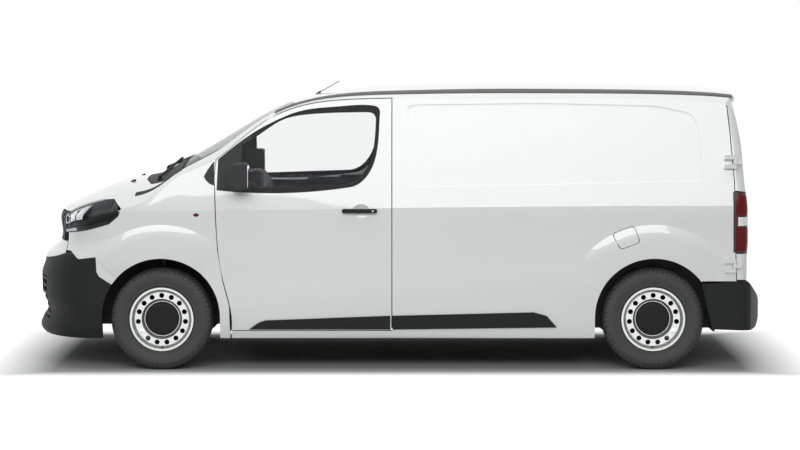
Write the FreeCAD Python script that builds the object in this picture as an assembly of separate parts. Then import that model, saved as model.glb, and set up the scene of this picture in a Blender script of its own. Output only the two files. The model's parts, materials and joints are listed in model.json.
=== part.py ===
import FreeCAD, Part
import math
import os

os.makedirs("parts", exist_ok=True)

V = FreeCAD.Vector

# A panel van with its nose towards -X, its left side towards -Y and the floor at Z = 0.
# The origin lies on the floor under the middle of its length and width.

# Driving dimensions of the whole van
overall_length = 4980.0
body_width = 1920.0
body_height = 1898.0
wheelbase = overall_length * 0.65763
front_overhang = overall_length * 0.18173
tyre_radius = 338.0
tyre_width = 215.0
track = 1626.0
rim_radius = 203.0

# Clearances and the overrun of every cut
shut_gap = 6.0
moving_gap = 8.0
seat_gap = 0.4
overrun = 40.0

# Body shell
half_width = body_width / 2
sill_height = 215.0
side_wall = 62.0
roof_wall = 34.0
skin = 11.0
glass_inset = 5.0
glass_thickness = 5.0
glass_depth = glass_inset + glass_thickness
nose_depth = 480.0
nose_power_share = 2.3
nose_steps = 10

front_x = -overall_length / 2
rear_x = overall_length / 2
front_axle_x = front_x + front_overhang
rear_axle_x = front_axle_x + wheelbase
rear_overhang = rear_x - rear_axle_x
axle_z = tyre_radius
upper_height = body_height - axle_z


def along(share):
    """A place along the van: below 0 ahead of the front axle, above 1 behind the rear axle."""
    if share < 0:
        return front_axle_x + share * front_overhang
    if share <= 1:
        return front_axle_x + share * wheelbase
    return rear_axle_x + (share - 1) * rear_overhang


def height(share):
    """A height over the floor, as a share of the way from the axles to the roof."""
    return axle_z + share * upper_height


def places(shares):
    """Side view places in shares, as lengths."""
    return [(along(x_share), height(z_share)) for x_share, z_share in shares]


def between(table, value):
    """A straight reading between the rows of a two-column table."""
    if value <= table[0][0]:
        return table[0][1]
    for low, high in zip(table, table[1:]):
        if value <= high[0]:
            part = (value - low[0]) / (high[0] - low[0])
            return low[1] + part * (high[1] - low[1])
    return table[-1][1]


# Half width of the body side over its height, from the sill to the roof rail
side_shares = [(-0.08, 0.956), (-0.03, 0.976), (0.03, 0.984), (0.085, 0.985), (0.135, 0.977),
               (0.193, 0.972), (0.33, 0.974), (0.42, 0.981), (0.455, 0.985), (0.478, 0.984),
               (0.539, 0.967), (0.68, 0.922), (0.808, 0.88), (0.904, 0.849), (0.94, 0.829), (0.965, 0.80)]

# How far the crease along the foot of the side climbs, from the front door to the rear wheel
crease_climb = 140.0
crease_front_share = 0.148
crease_rear_share = 0.759
crease_part_shares = [(-0.03, 0.0), (0.03, 1.0), (0.193, 1.0), (0.455, 0.0)]
lower_shares = [0.0, 0.09, 0.18, 0.27, 0.35, 0.43, 0.52, 0.66, 0.80, 0.91, 1.0]
upper_shares = [0.0, 0.33, 0.66, 1.0]

# Nose point of the body over its height
tip_shares = [(-0.0795, -0.980), (-0.057, -1.0), (-0.031, -0.985), (-0.0115, -0.960), (0.0526, -0.964),
              (0.072, -0.985), (0.151, -0.990), (0.187, -0.982), (0.219, -0.962), (0.259, -0.943),
              (0.295, -0.867), (0.323, -0.834), (0.43, -0.833), (0.458, -0.801)]

# Rear point of the body over its height
back_shares = [(-0.09, 0.83), (0.16, 0.872), (0.46, 0.872), (0.55, 0.851), (0.774, 0.803),
               (0.9, 0.742), (1.0, 0.682)]

# One row for each section of the hull: its place, the shoulder, the top corner and the centre
section_shares = [
    (-0.80, 0.425, 0.432, 0.4577, 0.0),
    (-0.669, 0.435, 0.443, 0.4955, 0.0),
    (-0.497, 0.445, 0.453, 0.5384, 0.0),
    (-0.28, 0.453, 0.475, 0.5760, 0.0),
    (-0.061, 0.460, 0.523, 0.5999, 0.0),
    (0.02, 0.463, 0.585, 0.645, 0.0),
    (0.0556, 0.465, 0.630, 0.6908, 0.0),
    (0.1141, 0.467, 0.688, 0.763, 0.0),
    (0.1579, 0.468, 0.757, 0.818, 0.1),
    (0.2183, 0.470, 0.850, 0.888, 0.3),
    (0.2794, 0.472, 0.903, 0.934, 0.7),
    (0.3606, 0.475, 0.930, 0.968, 1.0),
    (0.484, 0.479, 0.938, 0.9885, 1.0),
    (0.6455, 0.482, 0.940, 0.9987, 1.0),
    (0.8085, 0.485, 0.940, 0.9987, 1.0),
    (0.9716, 0.488, 0.938, 0.9936, 1.0),
    (1.30, 0.488, 0.931, 0.9870, 1.0),
    (1.60, 0.488, 0.918, 0.9770, 1.0),
    (1.76, 0.488, 0.905, 0.9680, 1.0),
    (1.95, 0.488, 0.885, 0.9540, 1.0),
]

# Rounding of the top over the half width, from the corner to the middle
crown_at_shares = [1.0, 0.96, 0.905, 0.78, 0.5, 0.25, 0.0]
roof_crown_shares = [0.0, 0.41, 0.59, 0.72, 0.87, 0.97, 1.0]
hood_crown_shares = [0.0, 0.14, 0.29, 0.53, 0.84, 0.97, 1.0]
crown_step_shares = [0.0, 0.06, 0.13, 0.25, 0.52, 0.76, 1.0]


def crease_rise(x):
    """How far the side's lower crease has climbed at a place along the van."""
    return between([(along(crease_front_share), 0.0), (along(crease_rear_share), crease_climb)], x)


def side_half_width(z, rise=0.0):
    """Half width of the body side at a height."""
    table = []
    for z_share, y_share in side_shares:
        table.append((height(z_share) + rise * between(crease_part_shares, z_share), y_share * half_width))
    return between(table, z)


def side_at(x, z):
    """Half width of the body side at a place and a height."""
    return side_half_width(z, crease_rise(x))


def tip_x(z):
    """Foremost point of the body at a height."""
    table = [(height(z_share), front_axle_x + x_share * front_overhang) for z_share, x_share in tip_shares]
    return between(table, z)


def back_x(z):
    """Rearmost point of the body at a height."""
    table = [(height(z_share), rear_axle_x + x_share * rear_overhang) for z_share, x_share in back_shares]
    return between(table, z)


def nose_narrowing(x, z):
    """Share of the full half width that the rounded nose leaves at a place."""
    depth = (x - tip_x(z)) / nose_depth
    if depth >= 1:
        return 1.0
    if depth <= 0:
        return 0.0
    return (1 - (1 - depth) ** nose_power_share) ** (1 / nose_power_share)


def curve_through(points, steps):
    """A smooth curve through points, each reached at its own step."""
    curve = Part.BSplineCurve()
    curve.interpolate(Points=points, Parameters=steps)
    return curve


def skin_face(rows, across_steps, along_steps):
    """A smooth face through rows of points, one row for each section."""
    columns = [curve_through([row[index] for row in rows], along_steps) for index in range(len(rows[0]))]
    column_poles = [column.getPoles() for column in columns]
    ribs = []
    for index in range(len(column_poles[0])):
        ribs.append(curve_through([poles[index] for poles in column_poles], across_steps))
    surface = Part.BSplineSurface()
    surface.buildFromPolesMultsKnots(
        [rib.getPoles() for rib in ribs],
        columns[0].getMultiplicities(), ribs[0].getMultiplicities(),
        columns[0].getKnots(), ribs[0].getKnots(),
        False, False, columns[0].Degree, ribs[0].Degree)
    return surface.toShape()


def steps_of(distances):
    """Places along a line as steps from 0 to 1."""
    reach = distances[-1] - distances[0]
    return [(distance - distances[0]) / reach for distance in distances]


def skinned(sections, across_steps, along_steps):
    """A solid through sections, each a closed ring of strips of points."""
    faces = []
    for index, steps in enumerate(across_steps):
        faces.append(skin_face([section[index] for section in sections], steps, along_steps))
    for section in (sections[0], sections[-1]):
        edges = [curve_through(strip, steps).toShape() for strip, steps in zip(section, across_steps)]
        faces.append(Part.Face(Part.Wire(edges)))
    shell = Part.Shell(faces)
    shell.sewShape()
    solid = Part.Solid(shell)
    if solid.Volume < 0:
        solid.reverse()
    return solid


def hull_section(row):
    """One closed cross section of the body."""
    x = along(row[0])
    shoulder = height(row[1])
    corner = height(row[2])
    crown = height(row[3])
    rise = crease_rise(x)
    lower = []
    for share in lower_shares:
        z = sill_height + share * (shoulder - sill_height)
        z_share = (z - axle_z) / upper_height
        z = z + rise * between(crease_part_shares, z_share)
        lower.append((side_half_width(z, rise) * nose_narrowing(x, z), z))
    upper = [lower[-1]]
    for share in upper_shares[1:]:
        z = shoulder + share * (corner - shoulder)
        upper.append((side_half_width(z) * nose_narrowing(x, min(z, height(tip_shares[-1][0]))), z))
    edge_y, edge_z = upper[-1]
    top = []
    for at, roof, hood in zip(crown_at_shares, roof_crown_shares, hood_crown_shares):
        rise_share = roof * row[4] + hood * (1 - row[4])
        top.append((at * edge_y, edge_z + rise_share * (crown - edge_z)))
    left = [V(x, -y, z) for y, z in lower]
    left_up = [V(x, -y, z) for y, z in upper]
    over = [V(x, -y, z) for y, z in top] + [V(x, y, z) for y, z in reversed(top[:-1])]
    right_up = [V(x, y, z) for y, z in reversed(upper)]
    right = [V(x, y, z) for y, z in reversed(lower)]
    return [left, left_up, over, right_up, right, [right[-1], left[0]]]


def backwards(steps):
    """The same steps, counted from the other end."""
    return [1 - step for step in reversed(steps)]


def hull():
    """The body as one solid, from the front of the hood to the rear doors."""
    half_steps = [share / 2 for share in crown_step_shares]
    top_steps = half_steps + backwards(half_steps)[1:]
    across = [lower_shares, upper_shares, top_steps, backwards(upper_shares), backwards(lower_shares),
              [0.0, 1.0]]
    sections = [hull_section(row) for row in section_shares]
    return skinned(sections, across, steps_of([along(row[0]) for row in section_shares]))


def slab(points, y_low, y_high):
    """A side view outline with straight edges, made solid between two widths."""
    corners = [V(x, y_low, z) for x, z in points]
    wire = Part.makePolygon(corners + [corners[0]])
    return Part.Face(wire).extrude(V(0, y_high - y_low, 0))


def runs_wire(runs, y):
    """A closed side view outline of runs: two places make a line, more make a curve."""
    edges = []
    for run in runs:
        points = [V(x, y, z) for x, z in run]
        if len(points) == 2:
            edges.append(Part.makeLine(points[0], points[1]))
        else:
            curve = Part.BSplineCurve()
            curve.interpolate(Points=points)
            edges.append(curve.toShape())
    return Part.Wire(edges)


def shaped_slab(runs, y_low, y_high):
    """A side view outline of curved and straight runs, made solid between two widths."""
    face = Part.Face(runs_wire(runs, y_low))
    return face.extrude(V(0, y_high - y_low, 0))


def run_list(*tables):
    """Runs of shares as runs of lengths, each starting where the last one ended."""
    runs = []
    last = None
    for table in tables:
        run = places(table)
        if last is not None:
            run = [last] + run
        runs.append(run)
        last = run[-1]
    if last != runs[0][0]:
        runs.append([last, runs[0][0]])
    return runs


def box(x_low, x_high, y_low, y_high, z_low, z_high):
    """A block between six planes."""
    return Part.makeBox(x_high - x_low, y_high - y_low, z_high - z_low, V(x_low, y_low, z_low))


def rounded_slab(points, cut, y_low, y_high):
    """A side view outline whose corners are rounded, made solid between two widths."""
    corners = [V(x, y_low, z) for x, z in points]
    turns = []
    for index, corner in enumerate(corners):
        before = corners[index - 1]
        after = corners[(index + 1) % len(corners)]
        start = towards(corner, before, min(cut, corner.distanceToPoint(before) / 2))
        end = towards(corner, after, min(cut, corner.distanceToPoint(after) / 2))
        turns.append((start, corner, end))
    edges = []
    for index, (start, corner, end) in enumerate(turns):
        turn = Part.BezierCurve()
        turn.setPoles([start, corner, end])
        edges.append(turn.toShape())
        following = turns[(index + 1) % len(turns)][0]
        if end.distanceToPoint(following) > seat_gap:
            edges.append(Part.makeLine(end, following))
    return Part.Face(Part.Wire(edges)).extrude(V(0, y_high - y_low, 0))


def towards(start, end, distance):
    """The place at a distance from a start, on the way to an end."""
    return start.add(end.sub(start).normalize().multiply(distance))


def rod(start, end, radius):
    """A round bar between two points."""
    line = end.sub(start)
    return Part.makeCylinder(radius, line.Length, start, line)


def mirrored(shape):
    """The same piece on the right side of the van."""
    return shape.mirror(V(0, 0, 0), V(0, 1, 0))


def joined(shapes):
    """Pieces that meet, as one, with every face kept."""
    whole = shapes[0]
    for shape in shapes[1:]:
        whole = whole.fuse(shape)
    return whole


def fused(shapes):
    """Pieces that meet, as one, with faces in one plane made one."""
    return joined(shapes).removeSplitter()


def save(name, shapes):
    """Writes the solids of one node."""
    solids = []
    for shape in shapes:
        solids.extend(shape.Solids)
    Part.makeCompound(solids).exportStep("parts/" + name + ".step")


# Side view outlines, shared by every piece that meets there
door_front_shares = [(0.1435, -0.0525), (0.140, 0.061), (0.1264, 0.168), (0.1166, 0.295), (0.113, 0.4225),
                     (0.1111, 0.549)]
door_nose_shares = [(0.1102, 0.622), (0.1136, 0.683)]
door_top_shares = [(0.1579, 0.7586), (0.2183, 0.8515), (0.2794, 0.9046), (0.3606, 0.9321), (0.4675, 0.9405)]
door_rear_share = 0.4675
door_foot_share = -0.0435
window_low_shares = [(0.1139, 0.553), (0.1542, 0.5455), (0.3814, 0.5647)]
window_rear_shares = [(0.405, 0.585), (0.422, 0.6242), (0.4382, 0.717), (0.4443, 0.8777)]
window_top_shares = [(0.440, 0.903), (0.426, 0.9117), (0.3609, 0.9072), (0.2797, 0.886), (0.2397, 0.854),
                     (0.189, 0.7977), (0.1542, 0.7471), (0.1165, 0.6835)]
glass_low_shares = [(0.1634, 0.5615), (0.3713, 0.5762)]
glass_rear_shares = [(0.398, 0.598), (0.415, 0.637), (0.4299, 0.717), (0.436, 0.8521)]
glass_top_shares = [(0.431, 0.875), (0.4116, 0.8822), (0.2998, 0.8732), (0.2495, 0.8521), (0.1826, 0.7638),
                    (0.1634, 0.7439)]

arch_radius = 392.0
arch_height_share = 0.012
flap_shares = [(0.9151, 0.3675), (0.9576, 0.4014), (0.9701, 0.3335), (0.9316, 0.3035)]
rear_shut_shares = [(1.595, 0.97), (1.63, 0.8003), (1.661, 0.5896), (1.672, 0.3348), (1.684, 0.16)]
lamp_rear_shares = [(1.649, 0.5474), (1.776, 0.5397), (1.805, 0.3937), (1.786, 0.2868), (1.656, 0.2881)]
headlamp_shares = [(-0.86, 0.4462), (-0.628, 0.477), (-0.45, 0.5051), (-0.354, 0.5102), (-0.287, 0.4763),
                   (-0.307, 0.443), (-0.376, 0.4085), (-0.541, 0.3803), (-0.87, 0.3406)]
bumper_line_shares = [(-0.676, 0.2887), (-0.61, 0.258), (-0.477, 0.2682), (-0.471, 0.2055), (-0.452, 0.185),
                      (-0.359, 0.1511)]
hood_rear_share = 0.005
hood_edge_share = 0.79
hood_nose_share = 0.446
hood_plan_shares = [(-0.171, 0.0), (-0.160, 0.45), (-0.10, 0.80), (0.005, 1.0), (-0.45, 0.93),
                    (-0.70, 0.80), (-0.83, 0.45), (-0.83, 0.0)]
blind_shares = [(0.4989, 0.5655), (0.4989, 0.9135), (0.7673, 0.9205), (1.005, 0.9095), (1.295, 0.8805),
                (1.352, 0.852), (1.376, 0.79), (1.400, 0.604), (1.378, 0.5905)]
blind_corner = 60.0
blind_depth = 6.0


def door_runs(grow=0.0):
    """Outline of the front door, made larger by the shut gap where it cuts its opening."""
    front = places(door_front_shares)
    nose = places(door_nose_shares)
    top = places(door_top_shares)
    rear = along(door_rear_share)
    foot = height(door_foot_share)
    front = [(x - grow, z) for x, z in front]
    nose = [(x - grow, z) for x, z in nose]
    top = [(x, z + grow) for x, z in top]
    top[-1] = (rear + grow, top[-1][1])
    front[0] = (front[0][0], foot - grow)
    return [
        front,
        [front[-1]] + nose,
        [nose[-1]] + top,
        [top[-1], (rear + grow, foot - grow)],
        [(rear + grow, foot - grow), front[0]],
    ]


def arch_cutter(axle_x, y_low, y_high, radius):
    """The round of a wheel arch, open below."""
    hub = V(axle_x, y_low, axle_z + arch_height_share * upper_height)
    round_part = Part.makeCylinder(radius, y_high - y_low, hub, V(0, 1, 0))
    open_part = box(axle_x - radius, axle_x + radius, y_low, y_high, -overrun, hub.z)
    return round_part.fuse(open_part)


outer = hull()
side_shift = V(0, side_wall, -roof_wall)
roof_shift = V(0, 0, -roof_wall)
hood_shift = V(0, 0, -skin)
wing_shift = V(skin + seat_gap, skin, -skin)


def moved(shape, shift):
    """A copy of a piece, moved."""
    copy = shape.copy()
    copy.translate(shift)
    return copy


def panel(region, shift):
    """The part of the body's skin that lies in a region, as thick as the shift."""
    return outer.common(region).cut(moved(outer, shift))


def recessed(region, first, last):
    """A sheet that lies between two depths under the body's skin."""
    return moved(outer, first).common(region).cut(moved(outer, last))


roof_split_y = 742.0
pillar_wall = 45.0
roof_front_share = 0.275
roof_low_share = 0.85
roof_rear_x = along(1.68)
low_z = -overrun
high_z = body_height + overrun
wide = half_width + overrun


def left_door_opening():
    """Everything of the left body side that the front door takes up."""
    return shaped_slab(door_runs(shut_gap), -wide, 0)


def rear_shut_line(offset):
    """Side view of everything behind the rear doors' shut line."""
    line = places(rear_shut_shares)
    line = [(x + offset, z) for x, z in line]
    head = height(door_head_share) - offset
    ahead = between([(z, x) for x, z in reversed(line)], head)
    line = [(ahead, head)] + [place for place in line if place[1] < head]
    return [(rear_x + overrun, head)] + line + [(line[-1][0], low_z), (rear_x + overrun, low_z)]


def roof_panel():
    """Roof skin between the two roof strips, from the windscreen to the rear doors."""
    middle = box(along(roof_front_share), roof_rear_x, -roof_split_y, roof_split_y,
                 height(roof_low_share), high_z)
    skin_part = panel(middle, roof_shift)
    tail = tail_block(0.0, 0.0).cut(tail_block(rear_door_wall, overrun))
    head = box(roof_rear_x - rear_door_wall * 2, rear_x, -roof_split_y, roof_split_y,
               height(door_head_share) + shut_gap / 2, high_z)
    header = tail.common(head).common(outer)
    return [joined([skin_part, header])]


def windscreen_frame():
    """Both windscreen pillars and the header between them."""
    region = box(along(hood_rear_share), along(roof_front_share) - shut_gap / 4, -wide, 0,
                 height(screen_low_share), high_z)
    region = region.cut(windscreen_cutter(0.0))
    region = region.cut(box(along(hood_rear_share), along(screen_foot_share),
                            -half_width * cowl_width_share - seat_gap, 0, low_z, high_z))
    region = region.cut(fender_region(shut_gap / 4))
    region = region.cut(left_door_opening())
    pillar = panel(region, V(pillar_wall, pillar_wall, -roof_wall))
    return [pillar.fuse(mirrored(pillar)).removeSplitter()]


screen_foot_share = 0.04
screen_head_share = 0.272
screen_low_share = 0.50
screen_high_share = 0.918
screen_low_width_share = 0.875
screen_high_width_share = 0.70


def windscreen_cutter(edge):
    """Front view outline of the windscreen, less an edge all round."""
    low = height(screen_low_share) + edge
    high = height(screen_high_share) - edge
    low_y = half_width * screen_low_width_share - edge
    high_y = half_width * screen_high_width_share - edge
    foot_x = along(screen_foot_share) + edge
    corners = [V(foot_x, -low_y, low), V(foot_x, low_y, low),
               V(foot_x, high_y, high), V(foot_x, -high_y, high)]
    face = Part.Face(Part.makePolygon(corners + [corners[0]]))
    return face.extrude(V(along(screen_head_share) - foot_x, 0, 0))


def windscreen():
    """The laminated screen, set in from the pillars."""
    region = windscreen_cutter(seat_gap)
    return [recessed(region, V(glass_inset, 0, -glass_inset), V(glass_depth, 0, -glass_depth))]


def fender_region(grow):
    """Side view of the left front wing, down to the bumper line."""
    door_front = places(door_front_shares)
    door_nose = places(door_nose_shares)
    rear = [(x - shut_gap + grow, z) for x, z in door_front + door_nose]
    rear[0] = (rear[0][0], low_z)
    tip = rear[-1]
    foot = (along(hood_rear_share), height(0.60))
    line = places(bumper_line_shares)
    line = [(x, z + grow) for x, z in line]
    front = [(along(-0.80), height(0.50)), (along(-0.80), height(0.40)), (along(-0.715), height(0.38)),
             (along(-0.715), line[0][1])] + line
    front = front + [(front_axle_x, height(0.1)), (front_axle_x, low_z)]
    runs = rear + [(tip[0], tip[1] + grow), (along(0.02), height(0.60)), (foot[0], high_z),
                   (along(-0.80), high_z)] + front[1:]
    return slab(runs, -wide, 0)


def hood_plan(edge):
    """Plan outline of the hood, from the cowl to the nose, less an edge all round."""
    side = half_width * hood_edge_share
    corners = []
    for x_share, y_share in hood_plan_shares:
        corners.append(V(along(x_share), -side * y_share, 0))
    for x_share, y_share in reversed(hood_plan_shares):
        if y_share > 0:
            corners.append(V(along(x_share), side * y_share, 0))
    face = Part.Face(Part.makePolygon(corners + [corners[0]]))
    if edge != 0:
        face = face.makeOffset2D(-edge)
    block = face.extrude(V(0, 0, high_z))
    return block.common(box(front_x, rear_x, -wide, wide, height(hood_nose_share) + edge, high_z))


def hood():
    """Engine lid between the wings."""
    return [panel(hood_plan(shut_gap / 2), hood_shift)]


hinge_arm_y = 560.0
hinge_arm_width = 40.0
hinge_arm_depth = 26.0
wing_inner_share = 0.85


def flare(axle_x, turns, inner_y):
    """Raised band round a left wheel arch, fading at both ends."""
    centre_z = axle_z + arch_height_share * upper_height
    sections = []
    for degrees, share in turns:
        turn = math.radians(degrees)
        outside = []
        for step, rise in zip(flare_steps, flare_rise_shares):
            radius = flare_start + step * (flare_end - flare_start)
            x = axle_x - radius * math.cos(turn)
            z = centre_z + radius * math.sin(turn)
            narrowing = nose_narrowing(x, z)
            skin_y = side_at(x, z) * narrowing - flare_sink
            outside.append(V(x, -(skin_y + (half_width * narrowing - skin_y) * rise * share), z))
        first = V(outside[0].x, -inner_y, outside[0].z)
        last = V(outside[-1].x, -inner_y, outside[-1].z)
        sections.append([outside, [outside[-1], last], [last, first], [first, outside[0]]])
    straight = [0.0, 1.0]
    degrees_list = [float(degrees) for degrees, share in turns]
    return skinned(sections, [flare_steps, straight, straight, straight], steps_of(degrees_list))


def fenders():
    """Front wing of each side, round the wheel and up to the windscreen pillar."""
    region = fender_region(0.0).cut(hood_plan(-shut_gap / 2))
    region = region.cut(arch_cutter(front_axle_x, -wide, 0, arch_radius))
    region = region.cut(offset_slab(places(headlamp_shares), seat_gap, -wide, 0))
    region = region.cut(windscreen_cutter(0.0))
    inner_y = -half_width * wing_inner_share
    region = region.cut(box(along(cowl_front_share), rear_x, inner_y, 0, low_z, high_z))
    wing = panel(region, wing_shift)
    bulge = flare(front_axle_x, front_flare_turns, front_flare_inner).common(region)
    bulge = bulge.cut(moved(outer, wing_shift))
    wing = wing.fuse(bulge).removeSplitter()
    return [wing, mirrored(wing)]


# Flare of a wheel arch: places across it, as radius and width over the body's middle
flare_start = 376.0
flare_end = 640.0
flare_steps = [0.0, 0.12, 0.3, 0.5, 0.68, 0.8, 0.9, 1.0]
flare_rise_shares = [0.86, 1.0, 0.99, 0.93, 0.80, 0.55, 0.20, 0.0]
flare_sink = 4.0
front_flare_inner = 820.0
rear_flare_inner = 900.0
front_flare_turns = [(42, 0.35), (55, 0.8), (70, 1.0), (85, 1.0), (100, 0.95), (115, 0.7), (128, 0.3),
                     (140, 0.0)]
rear_flare_turns = [(24, 0.0), (36, 0.35), (50, 0.8), (70, 1.0), (90, 1.0), (110, 1.0), (130, 0.8),
                    (144, 0.35), (156, 0.0)]


def side_region():
    """Side view of the left body side, behind the front door."""
    front = along(door_rear_share) + shut_gap
    sill_x = along(door_front_shares[0][0])
    sill_z = height(door_foot_share) - shut_gap
    foot_z = sill_height + seat_gap
    points = [(sill_x, foot_z), (sill_x, sill_z), (front, sill_z), (front, height(0.935)),
              (along(0.3606), height(0.928)), (along(roof_front_share), height(0.90)),
              (along(roof_front_share), high_z), (roof_rear_x, high_z), (roof_rear_x, foot_z)]
    return slab(points, -wide, -roof_split_y - seat_gap)


def body_side():
    """Left body side with its wheel arch, cant rail, rear pillar and hinge pins."""
    region = side_region()
    region = region.cut(left_door_opening())
    region = region.cut(arch_cutter(rear_axle_x, -wide, 0, arch_radius))
    region = region.cut(slab(rear_shut_line(-shut_gap / 2), -wide, 0))
    region = region.cut(offset_slab(places(lamp_rear_shares), seat_gap, -wide, 0))
    bumper_x = along(rear_bumper_shares[0][0]) - seat_gap * 2
    bumper_z = height(rear_bumper_shares[1][1]) + seat_gap * 2
    region = region.cut(box(bumper_x, rear_x, -wide, 0, low_z, bumper_z))
    beyond = box(along(1.6), rear_x, -wide, 0, height(door_head_share), high_z)
    region = region.cut(beyond.cut(tail_block(0.0, overrun)))
    side = panel(region, side_shift)
    bulge = flare(rear_axle_x, rear_flare_turns, rear_flare_inner).common(region)
    side = side.fuse(bulge).removeSplitter().cut(hinge_hollow())
    return joined([side] + body_hinges())


flap_thickness = 5.0
flap_corner = 28.0
flap_pocket = 24.0


def flap_form(region):
    """The body's outer form with its rear flare, inside a side view region."""
    bulge = flare(rear_axle_x, rear_flare_turns, rear_flare_inner).common(region)
    return outer.common(region).fuse(bulge)


def flap_opening():
    """Side view opening for the filler flap."""
    return rounded_slab(scaled_outline(places(flap_shares), shut_gap), flap_corner, -wide, 0)


def fuel_flap():
    """Filler flap on the left side, hinged at its front edge."""
    sheet = flap_form(rounded_slab(places(flap_shares), flap_corner, -wide, 0))
    return [sheet.cut(moved(flap_form(flap_opening()), V(0, flap_thickness, 0)))]


def offset_slab(points, grow, y_low, y_high):
    """A side view outline moved out by a gap, made solid between two widths."""
    corners = [V(x, y_low, z) for x, z in points]
    face = Part.Face(Part.makePolygon(corners + [corners[0]]))
    return face.makeOffset2D(grow).extrude(V(0, y_high - y_low, 0))


def scaled_outline(points, grow):
    """An outline moved out from its middle by a gap."""
    mid_x = sum(x for x, z in points) / len(points)
    mid_z = sum(z for x, z in points) / len(points)
    out = []
    for x, z in points:
        reach = math.hypot(x - mid_x, z - mid_z)
        scale = (reach + grow) / reach
        out.append((mid_x + (x - mid_x) * scale, mid_z + (z - mid_z) * scale))
    return out


def blind_recess():
    """Shallow pressing where a side window could be."""
    return panel(rounded_slab(places(blind_shares), blind_corner, -wide, 0), V(0, blind_depth, 0))


def body_side_left():
    """Left side, with the pressed blind panel and the filler pocket."""
    side = body_side().cut(blind_recess())
    pocket = flap_opening().cut(moved(outer, V(0, flap_pocket, 0)))
    hinge_x = along(flap_shares[0][0]) + flap_hinge_inset
    lug = box(hinge_x, hinge_x + flap_hinge_width, -wide, 0, height(flap_hinge_low_share),
              height(flap_hinge_high_share))
    lug = moved(flap_form(lug), V(0, flap_thickness + seat_gap, 0))
    lug = lug.cut(moved(outer, V(0, flap_pocket + seat_gap, 0)))
    return [joined([side.cut(pocket), lug])]


flap_hinge_inset = 22.0
flap_hinge_width = 18.0
flap_hinge_low_share = 0.325
flap_hinge_high_share = 0.345


slide_front_share = 0.475
slide_rear_share = 0.80
slide_low_share = -0.03
slide_high_share = 0.925


def slide_outline(grow):
    """Side view of the sliding door."""
    low = height(slide_low_share) - grow
    high = height(slide_high_share) + grow
    front = along(slide_front_share) - grow
    rear = along(slide_rear_share) + grow
    return [(front, low), (front, high), (rear, high), (rear, low)]


def body_side_right():
    """Right side, open for the sliding door."""
    side = mirrored(body_side())
    side = side.cut(mirrored(blind_recess()))
    return [side.cut(slab(slide_outline(shut_gap / 2), 0, wide))]


def sliding_door():
    """Sliding load door of the right side, shut."""
    region = side_region().common(mirrored(slab(slide_outline(-shut_gap / 2), 0, wide)))
    side = mirrored(panel(region, side_shift))
    return [side.cut(mirrored(blind_recess()))]


def window_cutter():
    """Opening of the front door that the window and its surround fill."""
    return shaped_slab(run_list(window_low_shares, window_rear_shares, window_top_shares), -wide, 0)


def glass_cutter():
    """Outline of the door's clear glass."""
    return shaped_slab(run_list(glass_low_shares, glass_rear_shares, glass_top_shares), -wide, 0)


def door():
    """Left front door, as thick as the body side, with its window cut and its handle dish."""
    region = shaped_slab(door_runs(0.0), -wide, -roof_split_y - moving_gap)
    dish_z = height(handle_height_share)
    dish_y = side_half_width(dish_z) + dish_radius - dish_depth
    dish = Part.makeSphere(dish_radius, V(along(dish_share), -dish_y, dish_z))
    return panel(region.cut(window_cutter()), side_shift).cut(dish)


dish_radius = 130.0
dish_depth = 14.0
dish_share = 0.406
handle_height_share = 0.466
handle_front_share = 0.3676
handle_rear_share = 0.4385
handle_half_height = 14.0
handle_reach = 26.0
handle_bar = 13.0
handle_foot = 34.0


def door_handle():
    """Pull bar of the left door, on two feet."""
    z = height(handle_height_share)
    skin_y = side_half_width(z)
    front = along(handle_front_share)
    rear = along(handle_rear_share)
    outline = [(front, z - handle_half_height), (front, z + handle_half_height),
               (rear, z + handle_half_height), (rear, z - handle_half_height)]
    bar = rounded_slab(outline, handle_half_height, -skin_y - handle_reach, -skin_y + handle_reach)
    hollow = box(front + handle_foot, rear - handle_foot, -skin_y - handle_reach + handle_bar, 0,
                 low_z, high_z)
    return bar.cut(hollow).cut(moved(outer, V(0, -seat_gap, 0)))


guard_shares = [(0.1789, -0.0400), (0.1972, -0.0122), (0.2113, -0.0013), (0.4650, 0.0186), (0.4650, -0.0400)]
guard_thickness = 9.0


def guard(shares):
    """Dark strip that stands proud of the left side."""
    strip = moved(outer, V(0, -guard_thickness, 0))
    return strip.common(slab(places(shares), -wide, 0)).cut(outer)


def door_glass():
    """Fixed and sliding glass of the left door, as one pane."""
    return recessed(glass_cutter(), V(0, glass_inset, 0), V(0, glass_depth, 0))


mirror_front_share = 0.1385
mirror_rear_share = 0.1795
mirror_low_share = 0.557
mirror_high_share = 0.673
mirror_reach = 142.0
mirror_round = 30.0
mirror_arm_high_share = 0.60
mirror_inner_share = 0.955
mirror_foot_share = 0.90


def door_trim():
    """Black surround of the window with the outside mirror, the handle and the guard strip."""
    ring = panel(window_cutter().cut(glass_cutter()), V(0, side_wall * 0.4, 0))
    front = along(mirror_front_share)
    rear = along(mirror_rear_share)
    low = height(mirror_low_share)
    high = height(mirror_high_share)
    outside = -half_width - mirror_reach
    inside_y = -half_width * mirror_inner_share
    waist = height(mirror_arm_high_share)
    outline = [(front + mirror_round, low), (front, waist), (front + mirror_round, high), (rear, high),
               (rear, low)]
    head = rounded_slab(outline, mirror_round, outside, inside_y)
    lower_edges = [edge for edge in head.Edges if abs(edge.BoundBox.YMax - outside) < seat_gap]
    head = head.makeFillet(mirror_round * 0.6, lower_edges).cut(outer)
    arm = box(front + mirror_round, rear - mirror_round, inside_y - mirror_round,
              -half_width * mirror_foot_share, low + mirror_round / 3, waist)
    arm = arm.cut(moved(outer, V(0, side_wall * 0.2, 0))).cut(glass_cutter())
    return [fused([ring, head, arm]), door_handle(), guard(guard_shares)]


rear_door_wall = 32.0
rear_corner = 60.0
corner_inset_share = 0.75
tail_bow = 90.0
tail_steps = 8
corner_steps = 6


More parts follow.
